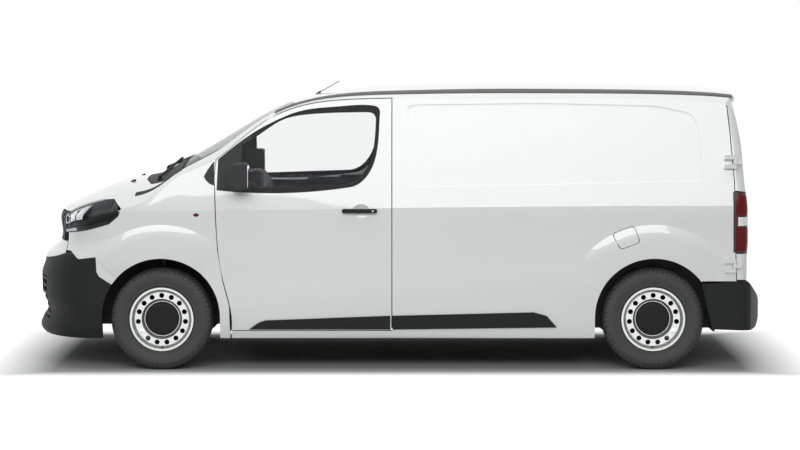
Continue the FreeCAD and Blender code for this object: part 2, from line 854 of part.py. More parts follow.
def tail_section(z, inset):
    """Plan outline of the tail at a height, moved in by an inset."""
    side = side_at(rear_x, z) - inset
    back = back_x(z) - inset
    radius = rear_corner - inset * corner_inset_share
    front = along(1.35)
    slope = 2 * tail_bow * (side - radius) / half_width ** 2
    last_turn = math.pi / 2 - math.atan(slope)
    end_y = side - radius + radius * math.cos(last_turn)
    end_x = back - tail_bow * (end_y / half_width) ** 2
    middle_x = end_x - radius * math.sin(last_turn)
    turns = [last_turn * step / corner_steps for step in range(corner_steps + 1)]
    round_left = [V(middle_x + radius * math.sin(turn), -side + radius - radius * math.cos(turn), z)
                  for turn in turns]
    back_line = []
    for step in range(tail_steps + 1):
        y = -end_y + 2 * end_y * step / tail_steps
        back_line.append(V(back - tail_bow * (y / half_width) ** 2, y, z))
    back_line[0] = round_left[-1]
    round_right = [V(point.x, -point.y, z) for point in reversed(round_left)]
    back_line[-1] = round_right[0]
    start = V(front, -side, z)
    end = V(front, side, z)
    return [[start, round_left[0]], round_left, back_line, round_right, [round_right[-1], end], [end, start]]


tail_height_shares = [0.172, 0.25, 0.33, 0.478, 0.6, 0.75, 0.88, 0.94, 1.0]
door_head_share = 0.908


def tail_block(inset, grow):
    """The tail between the bumper and the roof, as one solid."""
    heights = [height(share) for share in tail_height_shares]
    sections = [tail_section(z, inset) for z in heights]
    heights[0] = heights[0] - grow
    heights[-1] = heights[-1] + grow
    for section, z in ((sections[0], heights[0]), (sections[-1], heights[-1])):
        for strip in section:
            for point in strip:
                point.z = z
    straight = [0.0, 1.0]
    corner = [step / corner_steps for step in range(corner_steps + 1)]
    bow = [step / tail_steps for step in range(tail_steps + 1)]
    return skinned(sections, [straight, corner, bow, corner, straight, straight], steps_of(heights))


def hinge_place(z):
    """The left rear door's hinge axis at a height; it leans inwards with the body side."""
    return V(rear_hinge_x, (z - hinge_foot_z) * hinge_lean - hinge_foot_y, z)


def hinge_leaf(z, low, high, reach, foot):
    """One leaf of a rear hinge, from its pin to the panel that carries it."""
    pin = hinge_place(z)
    ends = sorted([pin.x, pin.x + reach])
    foot_ends = sorted([pin.x + reach, pin.x + reach - foot])
    plate = box(ends[0], ends[1], pin.y - pin_radius, pin.y + pin_radius, z + low, z + high)
    root = box(foot_ends[0], foot_ends[1], pin.y - pin_radius, pin.y + leaf_foot, z + low, z + high)
    return plate.fuse(root)


def body_hinges():
    """Pins and body leaves of the left rear door's hinges."""
    shapes = []
    for share in rear_hinge_shares:
        z = height(share)
        shapes.append(rod(hinge_place(z - leaf_half), hinge_place(z + leaf_half), pin_radius))
        shapes.append(hinge_leaf(z, -leaf_half, -knuckle_half - leaf_gap, -leaf_reach, leaf_reach / 2))
        shapes.append(hinge_leaf(z, knuckle_half + leaf_gap, leaf_half, -leaf_reach, leaf_reach / 2))
    return shapes


def hinge_hollow():
    """Room round the knuckles of the left rear door's hinges."""
    rods = []
    for share in rear_hinge_shares:
        z = height(share)
        rods.append(rod(hinge_place(z - leaf_half), hinge_place(z + leaf_half), pin_radius * 3))
    return Part.makeCompound(rods)


def door_hinges():
    """Door leaves of the left rear door's hinges, each round its pin."""
    shapes = []
    for share in rear_hinge_shares:
        z = height(share)
        low = hinge_place(z - knuckle_half)
        high = hinge_place(z + knuckle_half)
        leaf = hinge_leaf(z, -knuckle_half, knuckle_half, leaf_reach * 0.9, leaf_reach / 3)
        leaf = leaf.fuse(rod(low, high, pin_radius * 2))
        pin = rod(hinge_place(z - leaf_half), hinge_place(z + leaf_half), pin_radius + seat_gap)
        shapes.append(leaf.cut(pin))
    return shapes


def rear_door():
    """Left rear door, wrapped round the corner of the body, with its hinge leaves."""
    block = tail_block(0.0, 0.0).cut(tail_block(rear_door_wall, overrun))
    block = block.common(slab(rear_shut_line(shut_gap / 2), -wide, -shut_gap / 2))
    lamp = offset_slab(places(lamp_rear_shares), moving_gap, -wide, -half_width * 0.80)
    return joined([block.cut(lamp)] + door_hinges())


rear_hinge_x = 2225.0
hinge_foot_z = 700.0
hinge_foot_y = 950.0
hinge_lean = 0.04
rear_hinge_shares = [0.232, 0.674]
pin_radius = 7.0
leaf_half = 45.0
leaf_gap = 1.6
knuckle_half = 15.0
leaf_reach = 48.0
leaf_foot = 62.0
tail_lamp_depth = 42.0


def tail_lamps():
    """Lamp at each rear corner."""
    block = tail_block(0.0, 0.0).cut(tail_block(tail_lamp_depth, overrun))
    lamp = block.common(slab(places(lamp_rear_shares), -wide, -half_width * 0.82))
    lamp = lamp.cut(slab([(0, low_z), (0, high_z), (along(1.65), high_z), (along(1.65), low_z)], -wide, 0))
    return [lamp, mirrored(lamp)]


def nose_section(z, inset, back):
    """Plan outline of the nose at a height, moved in by an inset."""
    tip = tip_x(z) + inset
    side = side_half_width(z) - inset
    depth = tip + nose_depth
    points = []
    for step in range(nose_steps + 1):
        turn = step / nose_steps * math.pi / 2
        y_part = math.sin(turn) ** (2 / nose_power_share)
        x_part = math.cos(turn) ** (2 / nose_power_share)
        points.append((depth - nose_depth * x_part, side * y_part))
    left = [V(x, -y, z) for x, y in reversed(points)]
    right = [V(x, y, z) for x, y in points[1:]]
    start = V(back, -side, z)
    end = V(back, side, z)
    return [left + right, [right[-1], end], [end, start], [start, left[0]]]


bumper_height_shares = [-0.0795, -0.057, -0.031, 0.0, 0.045, 0.085, 0.12, 0.151, 0.187, 0.219, 0.259, 0.295]
panel_height_shares = [0.24, 0.259, 0.295, 0.323, 0.38, 0.43, 0.458]
bumper_wall = 40.0
nose_back = along(-0.25)


def nose_block(shares, inset, grow):
    """The nose between two heights, as one solid."""
    heights = [height(share) for share in shares]
    sections = [nose_section(z, inset, nose_back + inset) for z in heights]
    heights[0] = heights[0] - grow
    heights[-1] = heights[-1] + grow
    for section, z in ((sections[0], heights[0]), (sections[-1], heights[-1])):
        for strip in section:
            for point in strip:
                point.z = z
    nose_line = [step / (2 * nose_steps) for step in range(2 * nose_steps + 1)]
    straight = [0.0, 1.0]
    return skinned(sections, [nose_line, straight, straight, straight], steps_of(heights))


def bumper_top_region(grow):
    """Side view of what lies under the line between the bumper and the wings."""
    line = [(x, z + grow) for x, z in places(bumper_line_shares)]
    head = [(front_x - overrun, height(0.225)), (along(-0.90), height(0.245)), (along(-0.78), height(0.265))]
    return [(front_x - overrun, low_z)] + head + line + [(line[-1][0], low_z)]


def front_bumper():
    """Black lower bumper with its air intake, slats and number plate plinth."""
    block = nose_block(bumper_height_shares, 0.0, 0.0)
    shell = block.cut(nose_block(bumper_height_shares, bumper_wall, overrun))
    low = height(intake_low_share)
    high = height(intake_high_share)
    intake = box(front_x - overrun, nose_back, -intake_half_width, intake_half_width, low, high)
    plinth = box(front_x - overrun, nose_back, -plinth_half_width, plinth_half_width,
                 height(plinth_low_share), high + overrun)
    intake = intake.cut(plinth)
    floor_part = nose_block(bumper_height_shares, intake_depth, overrun)
    shell = shell.cut(intake.cut(floor_part))
    slat_band = nose_block(bumper_height_shares, slat_inset, 0.0)
    slats = []
    for index in range(slat_count):
        z = low + (index + 0.5) * (high - low) / slat_count
        slats.append(box(front_x - overrun, nose_back, -intake_half_width - overrun,
                         intake_half_width + overrun, z - slat_half, z + slat_half))
    behind = nose_block(bumper_height_shares, intake_depth + slat_root, overrun * 2)
    bars = slat_band.cut(behind).common(Part.makeCompound(slats))
    shell = fused([shell] + [bar for bar in bars.Solids])
    shell = shell.common(slab(bumper_top_region(-shut_gap / 2), -wide, wide))
    shell = shell.cut(arch_cutter(front_axle_x, -wide, wide, arch_radius))
    return [shell]


intake_low_share = -0.018
intake_high_share = 0.170
intake_half_width = 620.0
intake_depth = 34.0
plinth_half_width = 262.0
plinth_low_share = 0.075
slat_count = 6
slat_half = 9.0
slat_inset = 8.0
slat_root = 2.0


def nose_shell(wall):
    """The upper nose, from the bumper to the hood, as a wall."""
    return nose_block(panel_height_shares, 0.0, 0.0).cut(nose_block(panel_height_shares, wall, overrun))


def front_fascia():
    """Painted strip of the nose between the bumper and the lamps."""
    block = nose_shell(bumper_wall)
    block = block.cut(slab(bumper_top_region(0.0), -wide, wide))
    keep = box(front_x - overrun, along(-0.715) - shut_gap, -wide, wide, height(0.2), height(0.32))
    block = block.common(keep)
    block = block.cut(slab(places(headlamp_shares), -wide, wide))
    return [block]


def grille():
    """Dark closed panel between the headlamps."""
    block = nose_shell(bumper_wall)
    keep = box(front_x - overrun, along(-0.69), -half_width * 0.55, half_width * 0.55,
               height(0.32) + seat_gap, height(0.44))
    return [block.common(keep)]


lamp_wall = 60.0
lamp_split_share = -0.74


def headlamps():
    """Headlamp of each side, from the nose into the wing."""
    front = nose_shell(lamp_wall)
    outline = slab(places(headlamp_shares), -wide, -half_width * 0.56)
    split = along(lamp_split_share)
    front = front.common(outline).common(box(front_x - overrun, split, -wide, 0, low_z, high_z))
    rear = outline.common(box(split, front_axle_x, -wide, 0, low_z, high_z))
    rear = panel(rear, V(lamp_wall, lamp_wall, -lamp_wall))
    lamp = front.fuse(rear).removeSplitter().cut(hood_plan(-moving_gap))
    return [lamp, mirrored(lamp)]


rim_wall = 6.0
rim_lip = 9.0
rim_half = tyre_width * 0.41
disc_depth = 30.0
face_share = 0.75
hub_face = rim_half * face_share - disc_depth - rim_wall


def tyre(axle_x, side):
    """A road tyre with flat tread and round shoulders."""
    half = tyre_width / 2
    bead = rim_half - rim_wall - seat_gap
    outside = [(bead, rim_radius + seat_gap), (bead, rim_radius + rim_lip + bead_step),
               (half, rim_radius + wall_rise), (half * shoulder_share, tyre_radius - shoulder_drop),
               (half * tread_share, tyre_radius)]
    points = [V(0, y, radius) for y, radius in outside]
    points = points + [V(0, -y, radius) for y, radius in reversed(outside)]
    face = Part.Face(Part.makePolygon(points + [points[0]]))
    ring = face.revolve(V(0, 0, 0), V(0, 1, 0), 360)
    ring.translate(V(axle_x, side * track / 2, axle_z))
    return ring


hole_ring = 158.0
hole_radius = 17.0
hole_count = 15
wall_rise = 70.0
bead_step = 1.0
shoulder_drop = 8.0
shoulder_share = 0.86
tread_share = 0.7
rim_edge = 4.0
rim_well = 10.0
rim_well_share = 0.2
disc_foot = 118.0
disc_inside = 135.0
disc_outside = 180.0
disc_turn = 3.0
disc_edge_depth = 28.0
disc_edge_gap = 8.0
cap_radius = 112.0
cap_top_radius = 96.0
cap_height = 22.0
hole_reach = 60.0


def rim_barrel():
    """The round of a wheel that holds the tyre."""
    lip = rim_radius + rim_lip
    outside = [(rim_half, rim_radius - rim_edge), (rim_half, lip), (rim_half - rim_wall, lip),
               (rim_half - rim_wall, rim_radius)]
    points = [V(0, y, radius) for y, radius in outside]
    points = points + [V(0, -y, radius) for y, radius in reversed(outside)]
    points.append(V(0, rim_half * rim_well_share, rim_radius - rim_well))
    return Part.Face(Part.makePolygon(points + [points[0]])).revolve(V(0, 0, 0), V(0, 1, 0), 360)


def rim_disc(face_y):
    """The dished disc of a wheel with its ring of openings."""
    foot = face_y - disc_depth
    edge = face_y - disc_edge_depth
    rim_inner = rim_radius - disc_edge_gap
    profile = [(foot, 0), (foot, disc_foot), (face_y, disc_inside), (face_y, disc_outside),
               (edge, rim_inner), (edge - rim_wall, rim_inner), (face_y - rim_wall, disc_outside - disc_turn),
               (face_y - rim_wall, disc_inside + disc_turn), (foot - rim_wall, disc_foot + disc_turn),
               (foot - rim_wall, 0)]
    points = [V(0, y, radius) for y, radius in profile]
    disc = Part.Face(Part.makePolygon(points + [points[0]])).revolve(V(0, 0, 0), V(0, 1, 0), 360)
    for index in range(hole_count):
        turn = 2 * math.pi * index / hole_count
        at = V(hole_ring * math.sin(turn), face_y - hole_reach, hole_ring * math.cos(turn))
        disc = disc.cut(Part.makeCylinder(hole_radius, hole_reach * 2, at, V(0, 1, 0)))
    return disc


def rim(axle_x, side):
    """Pressed steel wheel with round openings and its centre cap."""
    face_y = rim_half * face_share
    cap = Part.makeCone(cap_radius, cap_top_radius, cap_height, V(0, face_y - disc_depth, 0), V(0, 1, 0))
    wheel = fused([rim_barrel(), rim_disc(face_y), cap])
    if side < 0:
        wheel = mirrored(wheel)
    wheel.translate(V(axle_x, side * track / 2, axle_z))
    return wheel


kingpin_inset = 150.0


def knuckle(side):
    """Hub carrier with its brake disc and strut, turning with the steered wheel."""
    wheel_y = side * track / 2
    pin_y = side * (track / 2 - kingpin_inset)
    hub = rod(V(front_axle_x, wheel_y + side * (hub_face - seat_gap), axle_z), V(front_axle_x, pin_y, axle_z),
              hub_radius)
    disc = rod(V(front_axle_x, wheel_y - side * disc_outer, axle_z),
               V(front_axle_x, wheel_y - side * disc_inner, axle_z), brake_radius)
    upright = box(front_axle_x - upright_half, front_axle_x + upright_half, pin_y - upright_wall,
                  pin_y + upright_wall, axle_z - upright_drop, axle_z + upright_rise)
    strut = rod(V(front_axle_x, pin_y, axle_z + upright_rise), V(front_axle_x, pin_y, axle_z + strut_rise),
                strut_radius)
    return fused([hub, disc, upright, strut])


hub_radius = 45.0
disc_outer = 35.0
disc_inner = 62.0
brake_radius = 140.0
upright_half = 40.0
upright_wall = 22.0
upright_drop = 115.0
upright_rise = 150.0
strut_rise = 560.0
strut_radius = 28.0


def front_subframe():
    """Crossmember, side rails and lower arms ahead of the cab, with the engine's mounts."""
    pin_y = track / 2 - kingpin_inset
    shapes = []
    for side in (-1, 1):
        y = side * rail_y
        shapes.append(box(along(rail_front_share), along(rail_rear_share), y - rail_half, y + rail_half,
                          rail_low, rail_high))
        arm_ends = sorted([side * (rail_y - rail_half), side * (pin_y + arm_half)])
        shapes.append(box(front_axle_x - arm_half, front_axle_x + arm_half, arm_ends[0], arm_ends[1],
                          arm_low, arm_high))
        shapes.append(box(front_axle_x - post_half, front_axle_x + post_half, y - rail_half, y + rail_half,
                          arm_low, rail_low + rail_half / 3))
        mount_ends = sorted([side * (engine_half + seat_gap), side * rail_y])
        for x in (along(engine_front_share) + post_half, along(engine_rear_share) - post_half):
            shapes.append(box(x - arm_half, x + arm_half, mount_ends[0], mount_ends[1], rail_low, rail_high))
    cross = box(front_axle_x - post_half, front_axle_x + post_half, -rail_y, rail_y, arm_high, cross_high)
    shapes.append(cross)
    front_bar = box(along(rail_front_share), along(-0.81), -bar_half, bar_half, rail_low, rail_high)
    shapes.append(front_bar)
    return [fused(shapes)]


rail_y = 400.0
rail_half = 30.0
rail_low = 450.0
rail_high = 560.0
rail_front_share = -0.85
rail_rear_share = 0.12
arm_half = 30.0
arm_low = 188.0
arm_high = axle_z - upright_drop - seat_gap
post_half = 60.0
cross_high = 300.0
bar_half = 560.0
engine_half = 330.0
engine_front_share = -0.60
engine_rear_share = -0.08
engine_low = 330.0
engine_high = 920.0


def engine():
    """Engine and gearbox, as one plain block."""
    return [box(along(engine_front_share), along(engine_rear_share), -engine_half, engine_half,
                engine_low, engine_high)]


floor_thickness = 60.0
cab_floor_thickness = 50.0
liner_wall = 16.0
front_liner_y = 440.0
rear_liner_y = 660.0
front_liner_reach = 52.0
rear_liner_reach = 6.0
liner_foot = 40.0
liner_flange = 118.0
liner_side_share = 0.93
floor_z = 430.0
floor_front_share = 0.13
floor_rear_share = 1.60


def arch_liner(axle_x, inner_y, reach):
    """Wheel housing of one left wheel."""
    outside = arch_cutter(axle_x, -half_width * liner_side_share, -inner_y, arch_radius + reach + liner_wall)
    within = arch_cutter(axle_x, -wide, -inner_y - liner_wall, arch_radius + reach)
    reach_x = arch_radius + liner_flange
    keep = box(axle_x - reach_x, axle_x + reach_x, -wide, 0, sill_height + liner_foot, high_z)
    return outside.cut(within).common(keep).common(inside(seat_gap))


def arch_liners():
    """Four wheel housings."""
    front = arch_liner(front_axle_x, front_liner_y, front_liner_reach)
    rear = arch_liner(rear_axle_x, rear_liner_y, rear_liner_reach)
    slot = overrun / 2
    rail = box(along(rail_front_share - 0.1), along(rail_rear_share) + slot, -rail_y - rail_half - slot, 0,
               rail_low - slot, rail_high + slot)
    front = front.cut(rail)
    arm = box(front_axle_x - post_half - slot, front_axle_x + post_half + slot, -wide, 0, low_z,
              cross_high + slot)
    front = front.cut(arm)
    strut = Part.makeCylinder(strut_radius + slot, strut_rise + overrun,
                              V(front_axle_x, -(track / 2 - kingpin_inset), axle_z))
    front = front.cut(strut)
    axle = box(rear_axle_x - beam_half - slot * 2, rear_axle_x + beam_half + slot * 2, -wide, 0, low_z,
               axle_z + beam_half + slot)
    rear = rear.cut(axle)
    return [front, rear, mirrored(front), mirrored(rear)]


beam_half = 40.0


def inside(gap):
    """The space between the two body sides, less a gap."""
    left = moved(outer, V(0, side_wall + gap, -roof_wall - gap))
    return left.common(moved(outer, V(0, -side_wall - gap, -roof_wall - gap)))


def floor_pan():
    """Load floor and the lower cab floor between the sills."""
    pillar_x = along(door_rear_share) + bulkhead_thickness + seat_gap
    cab = box(along(floor_front_share), pillar_x, -wide, wide, floor_z, floor_z + cab_floor_thickness)
    load = box(pillar_x, along(floor_rear_share), -wide, wide, floor_z, floor_z + floor_thickness)
    plate = inside(moving_gap).common(cab).fuse(inside(seat_gap).common(load)).removeSplitter()
    reaches = ((front_axle_x, front_liner_y, front_liner_reach),
               (rear_axle_x, rear_liner_y, rear_liner_reach))
    for axle_x, inner_y, reach in reaches:
        cutter = arch_cutter(axle_x, -wide, -inner_y + seat_gap, arch_radius + reach + liner_wall + seat_gap)
        plate = plate.cut(cutter)
        plate = plate.cut(mirrored(cutter))
    return [plate]


bulkhead_thickness = 30.0


def bulkhead():
    """Full partition behind the seats."""
    front = along(door_rear_share)
    foot = floor_z + cab_floor_thickness + seat_gap
    middle = box(front, front + bulkhead_thickness, -wide, wide, foot, high_z)
    return [inside(seat_gap).common(middle)]


def scuttle():
    """Dark cowl under the windscreen, with the hood's two hinge arms."""
    side = half_width * cowl_width_share
    keep = box(along(cowl_front_share), along(screen_foot_share) - seat_gap, -side, side,
               height(screen_low_share), high_z)
    cowl = panel(keep.cut(hood_plan(-shut_gap / 2)), hood_shift)
    shapes = [cowl]
    for turn in (-1, 1):
        ends = sorted([turn * hinge_arm_y, turn * (hinge_arm_y + hinge_arm_width)])
        under = box(along(hinge_arm_share), along(hood_rear_share), ends[0], ends[1], axle_z, high_z)
        arm = recessed(under, V(0, 0, -skin - seat_gap), V(0, 0, -hinge_arm_depth))
        foot = recessed(under.cut(hood_plan(-shut_gap / 2)), V(0, 0, -skin / 2), V(0, 0, -hinge_arm_depth))
        shapes.append(arm)
        shapes.append(foot)
    return [joined(shapes)]


cowl_front_share = -0.20
cowl_width_share = 0.84
hinge_arm_share = -0.27


def dashboard():
    """Dashboard across the cab, with its console and the steering column."""
    body = slab(places(dash_shares), -half_width * 0.86, half_width * 0.86)
    hood_part = slab(places(binnacle_shares), column_y - binnacle_half, column_y + binnacle_half)
    console = box(along(0.10), along(0.19), -console_half, console_half,
                  floor_z + cab_floor_thickness + seat_gap, height(0.40))
    centre = wheel_centre()
    column = rod(centre.sub(wheel_axis(boss_half + seat_gap)), centre.sub(wheel_axis(column_length)),
                 column_radius)
    return [fused([body, hood_part, console, column])]


dash_shares = [(0.07, 0.585), (0.13, 0.60), (0.185, 0.575), (0.200, 0.53), (0.208, 0.49), (0.20, 0.38),
               (0.09, 0.38)]
binnacle_shares = [(0.15, 0.57), (0.170, 0.615), (0.190, 0.628), (0.198, 0.62), (0.199, 0.53), (0.16, 0.50)]
binnacle_half = 170.0
console_half = 110.0
column_length = 190.0
column_radius = 32.0


def seats():
    """Driver's seat and a double seat, with their backs folded forward."""
    shapes = []
    foot = floor_z + cab_floor_thickness + seat_gap
    for y_low, y_high in seat_sides:
        base = box(along(0.29), along(0.44), y_low, y_high, foot, cushion_height)
        back = box(along(0.30), along(0.45), y_low, y_high, cushion_height, seat_back_height)
        shapes.append(fused([base, back]))
    return shapes


seat_sides = [(-780.0, -240.0), (-160.0, 780.0)]
cushion_height = 870.0
seat_back_height = 1010.0


bumper_corner = 90.0
bumper_bow = 170.0
bumper_side_share = 0.992
bumper_root_share = 1.3
bumper_hollow_share = 1.74
rear_bumper_shares = [(1.394, 0.1543), (1.67, 0.1658), (1.786, 0.162), (1.909, 0.0896), (1.968, 0.0435),
                      (1.998, -0.0051), (1.886, -0.0461), (1.749, -0.0442), (1.484, -0.0391)]


def rear_bumper():
    """Black rear bumper with its step, bowed in plan."""
    bow = []
    for step in range(tail_steps + 1):
        y = half_width * bumper_side_share * (2 * step / tail_steps - 1)
        bow.append(V(rear_x - bumper_bow * (y / half_width) ** 2, y, low_z))
    bow_curve = Part.BSplineCurve()
    bow_curve.interpolate(Points=bow)
    front = along(bumper_root_share)
    corners = [bow[-1], V(front, bow[-1].y, low_z), V(front, bow[0].y, low_z), bow[0]]
    plan = Part.Face(Part.Wire([bow_curve.toShape(), Part.makePolygon(corners)]))
    plan = plan.extrude(V(0, 0, high_z - low_z))
    boxes = [(edge, edge.BoundBox) for edge in plan.Edges]
    upright = [edge for edge, room in boxes if room.XMin > rear_axle_x and room.ZLength > overrun
               and room.XLength < overrun and room.YLength < overrun]
    plan = plan.makeFillet(bumper_corner, upright)
    bar = slab(places(rear_bumper_shares), -wide, wide).common(plan)
    hollow = inside(seat_gap).common(box(front, along(bumper_hollow_share), -wide, wide, low_z, high_z))
    return [bar.cut(hollow)]


def rear_axle():
    """Beam between the rear wheels with its trailing arms."""
    beam = box(rear_axle_x - beam_half, rear_axle_x + beam_half, -beam_y, beam_y, axle_z - beam_half,
               axle_z + beam_half * 0.75)
    shapes = [beam]
    for side in (-1, 1):
        wheel_y = side * track / 2
        shapes.append(rod(V(rear_axle_x, side * (beam_y - beam_half), axle_z),
                          V(rear_axle_x, wheel_y + side * (hub_face - seat_gap), axle_z), stub_radius))
        shapes.append(rod(V(rear_axle_x, wheel_y - side * disc_outer, axle_z),
                          V(rear_axle_x, wheel_y - side * disc_inner, axle_z), brake_radius))
        y = side * trailing_y
        shapes.append(box(rear_axle_x - trailing_length, rear_axle_x, y - trailing_half, y + trailing_half,
                          axle_z - trailing_half, axle_z + beam_half))
        for x, radius in ((rear_axle_x - post_half, trailing_half * 2),
                          (rear_axle_x - trailing_length + trailing_half, trailing_half)):
            shapes.append(rod(V(x, y, axle_z), V(x, y, floor_z - seat_gap), radius))
    return [fused(shapes)]


beam_y = 640.0
stub_radius = 35.0
trailing_y = 560.0
trailing_half = 25.0
trailing_length = 560.0


def fuel_tank():
    """Tank under the floor."""
    return [box(along(0.45), along(0.66), -tank_outer, -tank_inner, tank_low, floor_z - seat_gap)]


tank_outer = 560.0
tank_inner = 60.0
tank_low = 240.0


def exhaust():
    """Pipe and silencer under the floor, on three hangers."""
    pipe = rod(V(along(0.15), pipe_y, pipe_z), V(along(0.9), pipe_y, pipe_z), pipe_radius)
    silencer = rod(V(along(0.5), pipe_y, pipe_z), V(along(0.66), pipe_y, pipe_z), silencer_radius)
    shapes = [pipe, silencer]
    for share in (0.2, 0.58, 0.87):
        shapes.append(rod(V(along(share), pipe_y, pipe_z), V(along(share), pipe_y, floor_z - seat_gap),
                          hanger_radius))
    return [fused(shapes)]


pipe_y = 160.0
pipe_z = 330.0
pipe_radius = 30.0
silencer_radius = 90.0
hanger_radius = 10.0


def roof_trim():
    """Grey strip along each side of the roof."""
    region = box(along(0.23), along(1.66), -roof_split_y - strip_outer, -roof_split_y + strip_inner,
                 height(roof_low_share), high_z + overrun)
    strip = moved(outer, V(0, 0, strip_rise)).common(region).cut(outer)
    return [strip, mirrored(strip)]


strip_outer = 26.0
strip_inner = 22.0
strip_rise = 9.0
aerial_share = 0.305
aerial_reach = 150.0
aerial_rise = 84.0
aerial_foot = 22.0
aerial_foot_length = 70.0
aerial_radius = 2.6


def aerial():
    """Whip aerial with its foot on the front of the roof."""
    x = along(aerial_share)
    top = skin_top(x, 0)
    front = x - aerial_foot_length / 2
    rear = x + aerial_foot_length / 2
    outline = [(front, top - aerial_foot), (rear, top + aerial_foot * 1.2), (rear, top - aerial_foot)]
    foot = slab(outline, -aerial_foot / 2, aerial_foot / 2).cut(moved(outer, V(0, 0, seat_gap)))
    start = V(x + aerial_foot_length / 4, 0, top + aerial_foot / 3)
    whip = rod(start, V(start.x + aerial_reach, 0, start.z + aerial_rise), aerial_radius)
    return [fused([foot, whip])]


def side_trims():
    """Dark guards along the foot of each body side."""
    strip = guard(side_guard_shares)
    return [strip, mirrored(strip)]


side_guard_shares = [(0.4693, 0.0186), (0.756, 0.0333), (0.7826, 0.0179), (0.8031, -0.0314),
                     (0.4693, -0.0403)]


def skin_top(x, y):
    """Height of the body's skin over a place in plan."""
    line = Part.makeLine(V(x, y, 0), V(x, y, high_z + overrun))
    return max(vertex.Z for vertex in outer.common(line).Vertexes)


wiper_radius = 9.0
wiper_lift = 24.0
wiper_boss = 14.0


def wipers():
    """Two wiper arms lying on the cowl, each on its spindle."""
    shapes = []
    for root_y, tip_y in wiper_sides:
        root_x = along(wiper_root_share)
        tip_place = along(wiper_tip_share)
        root_skin = skin_top(root_x, root_y)
        root = V(root_x, root_y, root_skin + wiper_lift)
        tip = V(tip_place, tip_y, skin_top(tip_place, tip_y) + wiper_lift)
        spindle = rod(V(root_x, root_y, root_skin - skin * 2), V(root_x, root_y, root.z), wiper_boss)
        shapes.append(fused([rod(root, tip, wiper_radius), spindle.cut(moved(outer, V(0, 0, seat_gap * 2)))]))
    return shapes


wiper_sides = [(-620.0, -60.0), (10.0, 600.0)]
wiper_root_share = -0.035
wiper_tip_share = 0.022


wheel_rake = math.radians(35)


def wheel_centre():
    """Middle of the steering wheel."""
    return V(along(0.245), column_y, height(0.45))


def wheel_axis(length):
    """A length along the steering column, towards the driver."""
    return V(length * math.cos(wheel_rake), 0, length * math.sin(wheel_rake))


def steering_wheel():
    """Steering wheel with its column boss."""
    centre = wheel_centre()
    ring = Part.makeTorus(wheel_ring, wheel_grip, centre, wheel_axis(1.0))
    spoke = box(-spoke_half, spoke_half, -wheel_ring, wheel_ring, -wheel_grip, wheel_grip)
    spoke.rotate(V(0, 0, 0), V(0, 1, 0), -math.degrees(wheel_rake))
    spoke.translate(centre)
    boss = Part.makeCylinder(boss_radius, boss_half * 2, centre.sub(wheel_axis(boss_half)), wheel_axis(1.0))
    return [fused([ring, spoke, boss])]


column_y = -440.0
wheel_ring = 190.0
wheel_grip = 15.0
spoke_half = 8.0
boss_radius = 60.0
boss_half = 20.0


def main():
    """Builds every node."""
    save("roof_panel", roof_panel())
    save("windscreen_frame", windscreen_frame())
    save("windscreen", windscreen())
    save("hood", hood())
    save("fenders", fenders())
    save("body_side_left", body_side_left())
    save("body_side_right", body_side_right())
    save("sliding_door", sliding_door())
    save("fuel_flap", fuel_flap())
    save("door_left", [door()])
    save("door_right", [mirrored(door())])
    save("door_glass_left", [door_glass()])
    save("door_glass_right", [mirrored(door_glass())])
    save("door_trim_left", door_trim())
    save("door_trim_right", [mirrored(shape) for shape in door_trim()])
    save("rear_door_left", [rear_door()])
    save("rear_door_right", [mirrored(rear_door())])
    save("tail_lamps", tail_lamps())
    save("front_bumper", front_bumper())
    save("front_fascia", front_fascia())
    save("grille", grille())
    save("headlamps", headlamps())
    save("rear_bumper", rear_bumper())
    save("roof_trim", roof_trim())
    save("side_trims", side_trims())
    save("scuttle", scuttle())
    save("dashboard", dashboard())
    save("seats", seats())
    save("bulkhead", bulkhead())
    save("floor_pan", floor_pan())
    save("arch_liners", arch_liners())
    save("engine", engine())
    save("front_subframe", front_subframe())
    save("rear_axle", rear_axle())
    save("fuel_tank", fuel_tank())
    save("exhaust", exhaust())
    save("wipers", wipers())
    save("aerial", aerial())
    save("steering_wheel", steering_wheel())
    for name, side in (("left", -1), ("right", 1)):
        save("knuckle_" + name, [knuckle(side)])
        save("tyre_front_" + name, [tyre(front_axle_x, side)])
        save("tyre_rear_" + name, [tyre(rear_axle_x, side)])
        save("rim_front_" + name, [rim(front_axle_x, side)])
        save("rim_rear_" + name, [rim(rear_axle_x, side)])


main()
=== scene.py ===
# %% [markdown]
# # A white panel van, dressed for its picture
# The shapes of the van come from its CAD model, which is loaded as a fixed frame.
# This script gives every surface its finish, adds what is too fine for the CAD model,
# such as tyre tread, lamp glass and door furniture, and sets up a plain studio.

import json
import math

import bmesh
import bpy
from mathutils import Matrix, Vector
from mathutils.bvhtree import BVHTree


